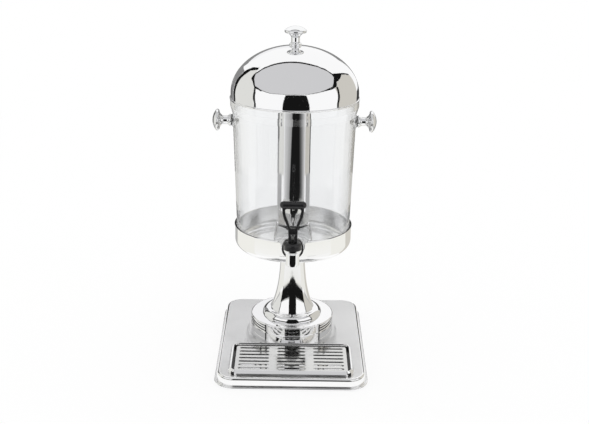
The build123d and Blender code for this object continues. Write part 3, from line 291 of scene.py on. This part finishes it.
def spun_lines(name):
    """Fine rings about an upright axis, as a lathe leaves them."""
    group, start, end = new_group(name, [("Axis Y", AXIS_Y), ("Fineness", 900.0)], "Height")
    x, y, z = split_axes(group, "Object")
    off_axis = math_node(group, "SUBTRACT", y, start.outputs["Axis Y"])
    x_squared = math_node(group, "MULTIPLY", x, x)
    y_squared = math_node(group, "MULTIPLY", off_axis, off_axis)
    radius = math_node(group, "SQRT", math_node(group, "ADD", x_squared, y_squared))
    place = join_axes(group, radius, z)
    noise = noise_at(group, place, start.outputs["Fineness"], 3.0, noise_dimensions="2D")
    group.links.new(noise.outputs["Fac"], end.inputs["Height"])
    return group


def straight_grain(name):
    """Straight polishing grain that runs along X."""
    group, start, end = new_group(name, [("Fineness", 1800.0), ("Stretch", 60.0)], "Height")
    x, y, z = split_axes(group, "Object")
    along = math_node(group, "DIVIDE", x, start.outputs["Stretch"])
    noise = noise_at(group, join_axes(group, along, y, z), start.outputs["Fineness"], 3.0)
    group.links.new(noise.outputs["Fac"], end.inputs["Height"])
    return group


def handling_marks(name):
    """Faint cloudy marks that handling and wiping leave on a surface."""
    group, start, end = new_group(name, [("Fineness", 28.0), ("Least", 0.0), ("Most", 1.0)], "Mark")
    place = add_node(group, "ShaderNodeTexCoord")
    noise = noise_at(group, place.outputs["Object"], start.outputs["Fineness"], 4.0)
    noise.inputs["Roughness"].default_value = 0.6
    ends = (start.outputs["Least"], start.outputs["Most"])
    mark = smooth_step(group, noise.outputs["Fac"], MARK_START, MARK_FULL, *ends)
    group.links.new(mark, end.inputs["Mark"])
    return group


def moulded_skin(name):
    """The fine pebbled skin of moulded plastic and rubber."""
    group, start, end = new_group(name, [("Fineness", 900.0)], "Height")
    place = add_node(group, "ShaderNodeTexCoord")
    noise = noise_at(group, place.outputs["Object"], start.outputs["Fineness"], 2.0)
    group.links.new(noise.outputs["Fac"], end.inputs["Height"])
    return group


GROUP_MAKERS = {
    "Spun lines": spun_lines,
    "Straight grain": straight_grain,
    "Handling marks": handling_marks,
    "Moulded skin": moulded_skin,
}


def use_group(tree, name, **values):
    """Places a shared node group, made the first time that a material asks for it."""
    group = bpy.data.node_groups.get(name) or GROUP_MAKERS[name](name)
    made = add_node(tree, "ShaderNodeGroup", node_tree=group)
    for label, value in values.items():
        made.inputs[label].default_value = value
    return made


def new_material(name, colour):
    """A material of one colour, its node tree and its Principled shader."""
    material = bpy.data.materials.new(name)
    material.use_nodes = True
    tree = material.node_tree
    shader = tree.nodes["Principled BSDF"]
    shader.inputs["Base Color"].default_value = (*colour, 1)
    return material, tree, shader


def new_metal(name, colour):
    material, tree, shader = new_material(name, colour)
    shader.inputs["Metallic"].default_value = 1.0
    return material, tree, shader


def bump_from(tree, shader, height, strength):
    bump = add_node(tree, "ShaderNodeBump")
    bump.inputs["Strength"].default_value = strength
    bump.inputs["Distance"].default_value = BUMP_DEPTH
    tree.links.new(height, bump.inputs["Height"])
    tree.links.new(bump.outputs["Normal"], shader.inputs["Normal"])


def spun_bump(tree, shader):
    lines = use_group(tree, "Spun lines", Fineness=SPUN_FINENESS)
    bump_from(tree, shader, lines.outputs["Height"], SPUN_BUMP)


def grain_bump(tree, shader, fineness, stretch, strength):
    grain = use_group(tree, "Straight grain", Fineness=fineness, Stretch=stretch)
    bump_from(tree, shader, grain.outputs["Height"], strength)


def moulded_bump(tree, shader, fineness, strength):
    skin = use_group(tree, "Moulded skin", Fineness=fineness)
    bump_from(tree, shader, skin.outputs["Height"], strength)


def marked_roughness(tree, shader, clean, marked, fineness):
    """Roughness that rises from clean to marked where the surface was handled."""
    marks = use_group(tree, "Handling marks", Fineness=fineness, Least=clean, Most=marked)
    tree.links.new(marks.outputs["Mark"], shader.inputs["Roughness"])


def handled_polish(tree, shader, finish):
    clean = finish.steel_roughness
    marked_roughness(tree, shader, clean=clean, marked=clean * POLISH_WEAR, fineness=POLISH_MARKS)


def polished_steel(finish):
    material, tree, shader = new_metal("polished_steel_look", finish.steel)
    handled_polish(tree, shader, finish)
    spun_bump(tree, shader)
    return material


def satin_steel(finish):
    """Steel with a satin level top and polished edges."""
    material, tree, shader = new_metal("satin_steel_look", finish.satin)
    upward = split_axes(tree, "Normal")[2]
    ends = (finish.steel_roughness, finish.satin_roughness)
    level = smooth_step(tree, upward, LEVEL_START, LEVEL_FULL, *ends)
    marks = use_group(tree, "Handling marks", Fineness=24.0, Least=1.0, Most=1.2)
    rough = math_node(tree, "MULTIPLY", level, marks.outputs["Mark"])
    tree.links.new(rough, shader.inputs["Roughness"])
    grain_bump(tree, shader, fineness=2200.0, stretch=40.0, strength=0.02)
    return material


def tray_steel(finish):
    material, tree, shader = new_metal("tray_steel_look", finish.tray)
    clean = finish.tray_roughness
    marked_roughness(tree, shader, clean=clean, marked=clean * TRAY_WEAR, fineness=40.0)
    grain_bump(tree, shader, fineness=2600.0, stretch=50.0, strength=0.03)
    return material


def bowl_steel(finish):
    """Steel that is polished outside and satin where it faces the upright axis."""
    material, tree, shader = new_metal("bowl_steel_look", finish.bowl)
    x, y = split_axes(tree, "Object")[:2]
    normal_x, normal_y = split_axes(tree, "Normal")[:2]
    along_x = math_node(tree, "MULTIPLY", x, normal_x)
    along_y = math_node(tree, "MULTIPLY", math_node(tree, "SUBTRACT", y, AXIS_Y), normal_y)
    outward = math_node(tree, "ADD", along_x, along_y)
    ends = (finish.bowl_roughness, finish.steel_roughness)
    rough = smooth_step(tree, outward, BOWL_INSIDE, 0.0, *ends)
    tree.links.new(rough, shader.inputs["Roughness"])
    spun_bump(tree, shader)
    return material


def pan_painted_gap_shade(finish):
    """Polished steel with painted shade: dark in the finger gaps beside the grille, where they lie in shadow.
    """
    material, tree, shader = new_metal("pan_steel_look", finish.steel)
    x, y, z = split_axes(tree, "Object")
    from_middle = math_node(tree, "ABSOLUTE", x)
    within_rim = math_node(tree, "LESS_THAN", from_middle, PAN_HIGH.x - PAN_RIM)
    beside_grille = math_node(tree, "GREATER_THAN", from_middle, GRILLE_HIGH.x - GRILLE_EDGE)
    below = math_node(tree, "LESS_THAN", z, GRILLE_HIGH.z)
    # Where the painted shade of the finger gaps goes
    inside = math_node(tree, "MULTIPLY", math_node(tree, "MULTIPLY", within_rim, beside_grille), below)
    shade = add_node(tree, "ShaderNodeMix", data_type="RGBA")
    shade.inputs["A"].default_value = (*finish.steel, 1)
    shade.inputs["B"].default_value = (*finish.pan, 1)
    tree.links.new(inside, shade.inputs["Factor"])
    tree.links.new(shade.outputs["Result"], shader.inputs["Base Color"])
    handled_polish(tree, shader, finish)
    return material


def chrome_plate(finish):
    material, tree, shader = new_metal("chrome_plate_look", finish.chrome)
    marked_roughness(tree, shader, clean=0.02, marked=0.05, fineness=60.0)
    return material


def plain_steel(finish):
    material, tree, shader = new_metal("plain_steel_look", finish.plain)
    marked_roughness(tree, shader, clean=0.3, marked=0.42, fineness=80.0)
    return material


def clear_plastic(finish):
    material, tree, shader = new_material("clear_plastic_look", finish.clear)
    shader.inputs["Transmission Weight"].default_value = 1.0
    shader.inputs["IOR"].default_value = CLEAR_IOR
    shader.inputs["Roughness"].default_value = 0.0
    return material


def black_plastic(finish):
    material, tree, shader = new_material("black_plastic_look", finish.black)
    marked_roughness(tree, shader, clean=0.2, marked=0.3, fineness=70.0)
    moulded_bump(tree, shader, fineness=1500.0, strength=0.05)
    return material


def black_rubber(finish):
    material, tree, shader = new_material("black_rubber_look", finish.rubber)
    marked_roughness(tree, shader, clean=0.55, marked=0.7, fineness=70.0)
    moulded_bump(tree, shader, fineness=2400.0, strength=0.15)
    return material


MAKERS = {
    "polished_steel_look": polished_steel,
    "satin_steel_look": satin_steel,
    "tray_steel_look": tray_steel,
    "bowl_steel_look": bowl_steel,
    "pan_steel_look": pan_painted_gap_shade,
    "chrome_plate_look": chrome_plate,
    "plain_steel_look": plain_steel,
    "clear_plastic_look": clear_plastic,
    "black_plastic_look": black_plastic,
    "black_rubber_look": black_rubber,
}


def look(context, name):
    """A finish by name, made the first time that a piece asks for it."""
    return bpy.data.materials.get(name) or MAKERS[name](context.scene.dispenser_finish)


def dress(context, name, *nodes):
    """Gives CAD nodes a finish."""
    for node in nodes:
        slots = NODES[node].data.materials
        slots.clear()
        slots.append(look(context, name))


# Operators, one for each group of pieces


class DISPENSER_OT_base(Operator):
    """Finish the base plate, its bottom plate, feet and screws"""

    bl_idname = "dispenser.base"
    bl_label = "Base"

    def execute(self, context):
        dress(context, "satin_steel_look", "base_plate")
        dress(context, "plain_steel_look", "bottom_plate", "foot_screws")
        for end in ("front", "rear"):
            dress(context, "black_rubber_look", f"foot_{end}_left", f"foot_{end}_right")
        return {"FINISHED"}


class DISPENSER_OT_drip_tray(Operator):
    """Finish the drip pan and its grille"""

    bl_idname = "dispenser.drip_tray"
    bl_label = "Drip tray"

    def execute(self, context):
        dress(context, "pan_steel_look", "drip_pan")
        dress(context, "tray_steel_look", "drip_grille")
        return {"FINISHED"}


class DISPENSER_OT_pedestal(Operator):
    """Finish the drum, collar, column and the rod that clamps them"""

    bl_idname = "dispenser.pedestal"
    bl_label = "Pedestal"

    def execute(self, context):
        dress(context, "polished_steel_look", "drum_ring", "drum_cap", "column_collar", "column")
        dress(context, "plain_steel_look", "tie_rod", "tie_rod_washer", "tie_rod_nut", "bowl_washer")
        dress(context, "chrome_plate_look", "bowl_dome_nut")
        return {"FINISHED"}


class DISPENSER_OT_bowl(Operator):
    """Finish the cradle bowl"""

    bl_idname = "dispenser.bowl"
    bl_label = "Cradle bowl"

    def execute(self, context):
        dress(context, "bowl_steel_look", "cradle_bowl")
        return {"FINISHED"}


class DISPENSER_OT_tank(Operator):
    """Finish the clear tank and its ice tube"""

    bl_idname = "dispenser.tank"
    bl_label = "Tank and ice tube"

    def execute(self, context):
        dress(context, "clear_plastic_look", "tank")
        tank = NODES["tank"]
        tank.visible_glossy = False
        tank.visible_diffuse = False
        tank.visible_shadow = False
        dress(context, "polished_steel_look", "ice_tube")
        dress(context, "black_rubber_look", "ice_tube_gasket")
        dress(context, "black_plastic_look", "ice_tube_nut")
        return {"FINISHED"}


class DISPENSER_OT_knobs(Operator):
    """Finish the three mushroom knobs and their fixings"""

    bl_idname = "dispenser.knobs"
    bl_label = "Knobs"

    def execute(self, context):
        dress(context, "chrome_plate_look", "side_knob_left", "side_knob_right", "lid_knob")
        dress(context, "black_rubber_look", "knob_seal_left", "knob_seal_right")
        dress(context, "plain_steel_look", "side_knob_screws", "side_knob_washers")
        dress(context, "plain_steel_look", "lid_knob_washer", "lid_knob_screw")
        return {"FINISHED"}


class DISPENSER_OT_tap(Operator):
    """Finish the tap, its valve and its fixings"""

    bl_idname = "dispenser.tap"
    bl_label = "Tap"

    def execute(self, context):
        dress(context, "chrome_plate_look", "tap_body", "tap_nut")
        dress(context, "black_plastic_look", "tap_bonnet")
        dress(context, "plain_steel_look", "valve_stem", "valve_spring")
        dress(context, "black_rubber_look", "tap_outer_washer", "tap_inner_washer", "stem_seal", "valve_plug")
        self.squeeze_spring()
        return {"FINISHED"}

    def squeeze_spring(self):
        """Gives the valve spring a mesh of its own; nothing squeezes it here."""
        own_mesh(NODES["valve_spring"])


class DISPENSER_OT_lever(Operator):
    """Finish the tap's lever and its pin"""

    bl_idname = "dispenser.lever"
    bl_label = "Lever"

    def execute(self, context):
        dress(context, "black_plastic_look", "tap_lever")
        dress(context, "plain_steel_look", "lever_pin")
        return {"FINISHED"}


class DISPENSER_OT_lid(Operator):
    """Finish the dome lid"""

    bl_idname = "dispenser.lid"
    bl_label = "Lid"

    def execute(self, context):
        dress(context, "polished_steel_look", "lid_dome")
        return {"FINISHED"}


# Stage


TONE = "tone"
CARD_TESTS = {"studio_board": "LESS_THAN", "studio_screen": "GREATER_THAN"}
# A ray's depth above this means that it has met such a surface at least once
HALF_BOUNCE = 0.5
CURTAIN_STEP = 3.0
FLOOR_STEP = 5
SENSOR_WIDTH = 36.0

# Left, right, front and rear edge of the white floor
FLOOR_EDGES = (-1.0, 1.3, -0.6, 2.5)
# Heights of the cards that lie on the floor, and of the painted shadows on them
FLOOR_CARD_Z = 0.002
PAINTED_SHADOW_Z = 0.003

# Cards stand round the column. Azimuths are in degrees from the front to the right, lengths in metres.
# Poles are dark; their stations are (height, left azimuth, right azimuth).
POLES = {
    "camera_gap": [(0, -21, 26), (0.27, -20, 25), (0.88, -16, 20)],
    "left_pole": [(0, -73, -69), (0.27, -73, -69), (0.73, -76, -72), (0.97, -81, -77)],
    "right_pole": [(0, 76, 80), (0.30, 77, 81), (0.67, 80, 84), (0.97, 84, 88)],
    "left_flag": [(0.1, -134, -127), (0.63, -136, -126), (1.17, -134, -126), (1.53, -126, -119)],
}

# Curtains have a tone and stations of (azimuth, lower height, upper height).
LEFT_LINE = [
    (-113, 1.42, 1.7), (-105, 1.17, 1.4), (-95, 1.12, 1.25), (-80, 0.93, 1.05), (-62, 0.88, 0.96),
]
RIGHT_FLAG = [
    (72, 0.96, 1.03), (80, 0.97, 1.08), (86, 0.98, 1.17), (95, 1.16, 1.3), (110, 1.12, 1.52),
    (121, 1.12, 1.23), (138, 0.75, 0.8),
]
REAR_FOOT = 0.36
REAR_TOP = 0.95
CURTAINS = {
    "left_line": ("dark", LEFT_LINE),
    "left_corner": ("dim", [(-153, 0.1, 0.68), (-136, 0.1, 0.9)]),
    "right_flag": ("dark", RIGHT_FLAG),
    "right_line": ("dark", [(30, 0.93, 0.95), (57, 0.98, 1.04), (72, 0.96, 1.05)]),
    "rear_foot": ("rear_low", [(140, 0, REAR_FOOT), (210, 0, REAR_FOOT)]),
    "rear_right": ("rear_right", [(140, REAR_FOOT, REAR_TOP), (180, REAR_FOOT, REAR_TOP)]),
    "rear_left": ("rear_left", [(180, REAR_FOOT, REAR_TOP), (207, REAR_FOOT, REAR_TOP)]),
}

# These curtains hang behind the poles and flags.
OUTER_GAP = 0.01
OUTER_CURTAINS = {
    "left_wall": ("left", [(-128, 0, 1.6), (-105, 0, 1.4), (-74, 0, 1.0)]),
    "right_wall": ("right", [(turn, 0, low) for turn, low, high in RIGHT_FLAG[1:]]),
    "left_foot": ("floor_far", [(-69, 0, 0.2), (-21, 0, 0.2)]),
    "right_foot": ("floor_far", [(26, 0, 0.2), (76, 0, 0.2)]),
}

# The floor in front has a tone at each radius. Its other cards have a tone, two radii and two azimuths.
FRONT_SPAN = (-75, 75)
FRONT_TONES = [
    (0.25, "floor_near"), (0.55, "floor_near"), (0.74, "floor_middle"), (0.92, "floor_far"),
    (1.3, "floor_far"),
]
SIDE_REACH = (0.25, 0.77)
REAR_REACH = (0.78, 4.0)
FLOOR_CARDS = {
    "left_floor": ("floor_middle", SIDE_REACH, (-135, -75)),
    "right_floor": ("floor_middle", SIDE_REACH, (75, 120)),
    "left_edge": ("floor_far", SIDE_REACH, (-165, -135)),
    "right_edge": ("right", SIDE_REACH, (120, 165)),
    "rear_floor": ("rear_floor", REAR_REACH, (95, 265)),
}
# Painted shadows of the camera and the poles lie on the floor in front of the poles; their stations are
# (radius, left, right azimuth).
PAINTED_FLOOR_SHADOWS = {
    "camera_painted_shadow": [(0.69, -13, 15), (0.70, -20, 24), (0.74, -22, 26), (1.12, -21, 26)],
    "left_pole_painted_shadow": [(0.78, -73, -69), (1.12, -73, -69)],
    "right_pole_painted_shadow": [(0.78, 76, 80), (1.12, 76, 80)],
}

# Boards hang near the object, seen only in the steel, where they paint dark reflections. They have a tone, a
# radius and stations as curtains have.
LOW_BOARD = [
    (-52, 0.069, 0.072), (-28, 0.062, 0.072), (2, 0.055, 0.072), (30, 0.062, 0.072), (54, 0.069, 0.072),
]
BOARDS = {
    "near_board": ("dark", 0.2, [(-17, 0.178, 0.203), (18, 0.178, 0.203)]),
    "low_board": ("dark", 0.4, LOW_BOARD),
    "high_board": ("dark", 0.6, [(-75, 0.047, 0.133), (80, 0.047, 0.133)]),
    "rear_board": ("dim", 0.35, [(150, 0.36, 0.6), (218, 0.36, 0.6)]),
}
# The board round the bowl's bead, which paints a dark reflected line on the bead: off the bead, below and
# above its top, and its azimuths on either side
RIM_GAP = 0.008
RIM_BELOW = 0.0015
RIM_ABOVE = 0.03
RIM_SPAN = (38, 165)
# Uprights beside the drum that paint reflected uprights on it, by two azimuths and the one where the lines
# from it end
DRUM_GAP = 0.007
DRUM_UPRIGHTS = ((-43.6, -41.2, -105), (44.2, 46.8, 105))
# Lines round the drum that paint reflected lines on it, by lower and upper end as shares of its height, and
# their tone
DRUM_LINE_GAP = 0.0075
DRUM_LINES = (
    (0.02, 0.34, "rear_floor"), (0.46, 0.52, "dark"), (0.60, 0.66, "dark"), (0.74, 0.80, "dark"),
)

# The screen in front of the ice tube: its radius, the heights of its foot, its bend and its head, and its
# shades, by azimuth at the foot and above the bend
TUBE_REACH = 0.8
TUBE_HEIGHTS = (0.03, 0.3, 0.45)
TUBE_SHADES = [
    (-75, -75, 0.95), (-62, -62, 0.65), (-48, -30, 0.48), (-33, -12, 0.34), (-28, -8, 0.01),
    (43, 28, 0.01), (56, 42, 0.14), (70, 62, 0.45), (84, 84, 0.9),
]

# The roof's outline as (x, y), and the dark frame round it, which is larger about the roof's middle
ROOF_REAR = [(-0.55, 0.17), (-0.28, 0.14), (0.13, 0.10), (0.49, 0.13)]
ROOF_RIGHT = [(0.58, 0.10), (0.72, -0.04), (0.84, -0.20), (0.75, -0.66)]
ROOF_FRONT = [(0.47, -0.99), (-0.04, -1.09), (-0.45, -1.04), (-0.87, -0.87)]
ROOF_LEFT = [(-1.00, -0.50), (-0.94, -0.13), (-0.69, 0.09)]
ROOF_MIDDLE_X = -0.05
ROOF_MIDDLE_Y = -0.4
FRAME_SCALE_X = 1.08
FRAME_SCALE_Y = 1.07
FRAME_LIFT = 0.004


def card_material(name):
    """Glows in the tone of each point of a card, only for light that a mirror has turned.

    A studio_board is seen by bare metal alone, and a studio_screen by metal behind the tank's clear wall.
    """
    if name in bpy.data.materials:
        return bpy.data.materials[name]
    material = bpy.data.materials.new(name)
    material.use_nodes = True
    tree = material.node_tree
    tree.nodes.clear()
    tone = add_node(tree, "ShaderNodeVertexColor", layer_name=TONE)
    glow = add_node(tree, "ShaderNodeEmission")
    tree.links.new(tone.outputs["Color"], glow.inputs["Color"])
    path = add_node(tree, "ShaderNodeLightPath")
    seen = math_node(tree, "GREATER_THAN", path.outputs["Glossy Depth"], HALF_BOUNCE)
    if name in CARD_TESTS:
        side = math_node(tree, CARD_TESTS[name], path.outputs["Transmission Depth"], HALF_BOUNCE)
        seen = math_node(tree, "MULTIPLY", seen, side)
    clear = add_node(tree, "ShaderNodeBsdfTransparent")
    mix = add_node(tree, "ShaderNodeMixShader")
    tree.links.new(seen, mix.inputs["Fac"])
    tree.links.new(clear.outputs["BSDF"], mix.inputs[1])
    tree.links.new(glow.outputs["Emission"], mix.inputs[2])
    out = add_node(tree, "ShaderNodeOutputMaterial")
    tree.links.new(mix.outputs["Shader"], out.inputs["Surface"])
    return material


def stage_card(name, rows, faces, tones, material="studio_card"):
    """A card that only polished surfaces see, with a tone for each of its points."""
    mesh = bpy.data.meshes.new(name)
    mesh.from_pydata(rows, [], faces)
    colours = mesh.color_attributes.new(name=TONE, type="FLOAT_COLOR", domain="POINT")
    for point, tone in zip(colours.data, tones):
        point.color = (*tone, 1)
    mesh.materials.append(card_material(material))
    card = bpy.data.objects.new(name, mesh)
    bpy.context.scene.collection.objects.link(card)
    card.visible_camera = False
    card.visible_diffuse = False
    card.visible_shadow = False


def strip(name, first_edge, second_edge, first_tone, second_tone=None, material="studio_card"):
    """A card between two edges that have as many points."""
    count = len(first_edge)
    faces = [(i, i + 1, count + i + 1, count + i) for i in range(count - 1)]
    tones = [first_tone] * count + [second_tone or first_tone] * count
    stage_card(name, first_edge + second_edge, faces, tones, material)


def around(radius, azimuth, z):
    """A point round the column."""
    turn = math.radians(azimuth)
    return (radius * math.sin(turn), AXIS_Y - radius * math.cos(turn), z)


def curtain(name, radius, stations, tone, material="studio_card"):
    """A card that hangs round the column."""
    low_edge = []
    high_edge = []
    for (turn_a, low_a, high_a), (turn_b, low_b, high_b) in zip(stations, stations[1:]):
        steps = max(1, round(abs(turn_b - turn_a) / CURTAIN_STEP))
        for step in range(steps + 1):
            share = step / steps
            turn = turn_a + share * (turn_b - turn_a)
            low_edge.append(around(radius, turn, low_a + share * (low_b - low_a)))
            high_edge.append(around(radius, turn, high_a + share * (high_b - high_a)))
    strip(name, low_edge, high_edge, tone, material=material)


def pole(name, radius, stations, tone):
    """A card that stands upright or leans."""
    left_edge = [around(radius, left, z) for z, left, right in stations]
    right_edge = [around(radius, right, z) for z, left, right in stations]
    strip(name, left_edge, right_edge, tone)


def floor_card(name, reach, span, near_tone, far_tone=None):
    """A card on the floor between two radii and two azimuths."""
    near, far = reach
    first, last = span
    turns = range(first, last + 1, FLOOR_STEP)
    near_edge = [around(near, turn, FLOOR_CARD_Z) for turn in turns]
    far_edge = [around(far, turn, FLOOR_CARD_Z) for turn in turns]
    strip(name, near_edge, far_edge, near_tone, far_tone)


def painted_floor_shadow(name, stations, tone):
    """A narrow card of painted shadow that leads away from the object on the floor."""
    left_edge = [around(radius, left, PAINTED_SHADOW_Z) for radius, left, right in stations]
    right_edge = [around(radius, right, PAINTED_SHADOW_Z) for radius, left, right in stations]
    strip(name, left_edge, right_edge, tone)


class DISPENSER_OT_stage(Operator):
    """Set up the floor, the light tent and the camera"""

    bl_idname = "dispenser.stage"
    bl_label = "Stage"

    def execute(self, context):
        scene = context.scene
        studio = scene.dispenser_studio
        scene.view_settings.view_transform = "Standard"
        self.make_world(scene)
        self.make_floor(studio)
        self.make_tent(studio)
        self.make_roof(studio)
        self.make_floor_cards(studio)
        self.make_boards(studio)
        self.make_drum_boards(studio)
        self.make_tube_screen()
        self.make_camera(scene)
        return {"FINISHED"}

    def make_world(self, scene):
        world = bpy.data.worlds.new("white_room")
        world.use_nodes = True
        back = world.node_tree.nodes["Background"]
        back.inputs["Color"].default_value = (1, 1, 1, 1)
        back.inputs["Strength"].default_value = 1.0
        scene.world = world

    def make_floor(self, studio):
        """A floor that is white where it is lit and takes the object's shadow."""
        mesh = bpy.data.meshes.new("floor")
        left, right, front, rear = FLOOR_EDGES
        corners = [(left, front, 0), (right, front, 0), (right, rear, 0), (left, rear, 0)]
        mesh.from_pydata(corners, [], [(0, 1, 2, 3)])
        floor = bpy.data.objects.new("floor", mesh)
        bpy.context.scene.collection.objects.link(floor)
        shade = studio.floor_shade
        material, tree, shader = new_material("floor_white", (shade, shade, shade))
        shader.inputs["Roughness"].default_value = 1.0
        shader.inputs["Specular IOR Level"].default_value = 0.0
        shader.inputs["Emission Color"].default_value = (1, 1, 1, 1)
        shader.inputs["Emission Strength"].default_value = 1.0 - shade
        mesh.materials.append(material)

    def make_tent(self, studio):
        radius = studio.tent_radius
        for name, stations in POLES.items():
            pole(name, radius, stations, studio.dark)
        for name, (tone, stations) in CURTAINS.items():
            curtain(name, radius, stations, getattr(studio, tone))
        for name, (tone, stations) in OUTER_CURTAINS.items():
            curtain(name, radius + OUTER_GAP, stations, getattr(studio, tone))

    def make_roof(self, studio):
        outline = ROOF_REAR + ROOF_RIGHT + ROOF_FRONT + ROOF_LEFT
        face = [tuple(range(len(outline)))]
        roof_rows = [(x, y, studio.tent_top) for x, y in outline]
        stage_card("roof", roof_rows, face, [studio.roof] * len(outline))
        frame_rows = []
        for x, y in outline:
            frame_x = ROOF_MIDDLE_X + FRAME_SCALE_X * (x - ROOF_MIDDLE_X)
            frame_y = ROOF_MIDDLE_Y + FRAME_SCALE_Y * (y - ROOF_MIDDLE_Y)
            frame_rows.append((frame_x, frame_y, studio.tent_top + FRAME_LIFT))
        stage_card("roof_frame", frame_rows, face, [studio.dark] * len(outline))

    def make_floor_cards(self, studio):
        """The floor as polished steel shows it, with painted shadows of the camera and the poles."""
        for (near, near_tone), (far, far_tone) in zip(FRONT_TONES, FRONT_TONES[1:]):
            tones = (getattr(studio, near_tone), getattr(studio, far_tone))
            floor_card("front_floor", (near, far), FRONT_SPAN, *tones)
        for name, (tone, reach, span) in FLOOR_CARDS.items():
            floor_card(name, reach, span, getattr(studio, tone))
        for name, stations in PAINTED_FLOOR_SHADOWS.items():
            painted_floor_shadow(name, stations, studio.dark)

    def make_boards(self, studio):
        """The boards near the object, and one round the bead of the bowl, that paint dark reflections on the
        steel.
        """
        for name, (tone, radius, stations) in BOARDS.items():
            curtain(name, radius, stations, getattr(studio, tone), material="studio_board")
        low = BOWL_HIGH.z - RIM_BELOW
        high = BOWL_HIGH.z + RIM_ABOVE
        for side in (-1, 1):
            stations = [(side * turn, low, high) for turn in RIM_SPAN]
            curtain("rim_board", BOWL_HIGH.x + RIM_GAP, stations, studio.dark, material="studio_board")

    def make_drum_boards(self, studio):
        """Cards just off the drum that paint the reflected uprights and lines on its sides."""
        low, high = DRUM_LOW.z, DRUM_HIGH.z
        for first, last, end in DRUM_UPRIGHTS:
            stations = [(first, low, high), (last, low, high)]
            curtain("drum_upright", DRUM_HIGH.x + DRUM_GAP, stations, studio.dark, material="studio_board")
            for low_share, high_share, tone in DRUM_LINES:
                line_low = low + low_share * (high - low)
                line_high = low + high_share * (high - low)
                stations = [(first, line_low, line_high), (end, line_low, line_high)]
                radius = DRUM_HIGH.x + DRUM_LINE_GAP
                curtain("drum_line", radius, stations, getattr(studio, tone), material="studio_board")

    def make_tube_screen(self):
        """What the ice tube mirrors in front of it: a dark middle that fades to light sides."""
        edges = []
        for foot, head, shade in TUBE_SHADES:
            edge = [around(TUBE_REACH, turn, z) for turn, z in zip((foot, head, head), TUBE_HEIGHTS)]
            edges.append((edge, (shade, shade, shade)))
        for (left_edge, left_tone), (right_edge, right_tone) in zip(edges, edges[1:]):
            strip("tube_screen", left_edge, right_edge, left_tone, right_tone, material="studio_screen")

    def make_camera(self, scene):
        view = scene.dispenser_camera
        data = bpy.data.cameras.new("camera")
        data.sensor_fit = "HORIZONTAL"
        data.sensor_width = SENSOR_WIDTH
        data.lens = view.lens
        camera = bpy.data.objects.new("camera", data)
        tilt = Matrix.Rotation(math.pi / 2 - view.pitch, 4, "X")
        turn = Matrix.Rotation(view.roll, 4, "Z")
        camera.matrix_world = Matrix.Translation(view.place) @ tilt @ turn
        scene.collection.objects.link(camera)
        scene.camera = camera


OPERATORS = (
    DISPENSER_OT_base,
    DISPENSER_OT_drip_tray,
    DISPENSER_OT_pedestal,
    DISPENSER_OT_bowl,
    DISPENSER_OT_tank,
    DISPENSER_OT_knobs,
    DISPENSER_OT_tap,
    DISPENSER_OT_lever,
    DISPENSER_OT_lid,
    DISPENSER_OT_stage,
)


class DISPENSER_PT_panel(Panel):
    """The dispenser's operators and settings"""

    bl_label = "Juice dispenser"
    bl_idname = "DISPENSER_PT_panel"
    bl_space_type = "VIEW_3D"
    bl_region_type = "UI"
    bl_category = "Dispenser"

    def draw(self, context):
        for operator in OPERATORS:
            self.layout.operator(operator.bl_idname)
        for settings in SETTINGS:
            group = getattr(context.scene, settings)
            self.layout.label(text=group.bl_rna.name)
            for key in group.__annotations__:
                self.layout.prop(group, key)


SETTINGS = {
    "dispenser_camera": CameraSettings,
    "dispenser_studio": StudioSettings,
    "dispenser_finish": FinishSettings,
}


def register():
    for name, settings in SETTINGS.items():
        bpy.utils.register_class(settings)
        setattr(bpy.types.Scene, name, PointerProperty(type=settings))
    for operator in OPERATORS:
        bpy.utils.register_class(operator)
    bpy.utils.register_class(DISPENSER_PT_panel)


def unregister():
    bpy.utils.unregister_class(DISPENSER_PT_panel)
    for operator in reversed(OPERATORS):
        bpy.utils.unregister_class(operator)
    for name, settings in SETTINGS.items():
        delattr(bpy.types.Scene, name)
        bpy.utils.unregister_class(settings)


def main():
    register()
    bpy.ops.dispenser.base()
    bpy.ops.dispenser.drip_tray()
    bpy.ops.dispenser.pedestal()
    bpy.ops.dispenser.bowl()
    bpy.ops.dispenser.tank()
    bpy.ops.dispenser.knobs()
    bpy.ops.dispenser.tap()
    bpy.ops.dispenser.lever()
    bpy.ops.dispenser.lid()
    bpy.ops.dispenser.stage()


if __name__ == "__main__":
    main()
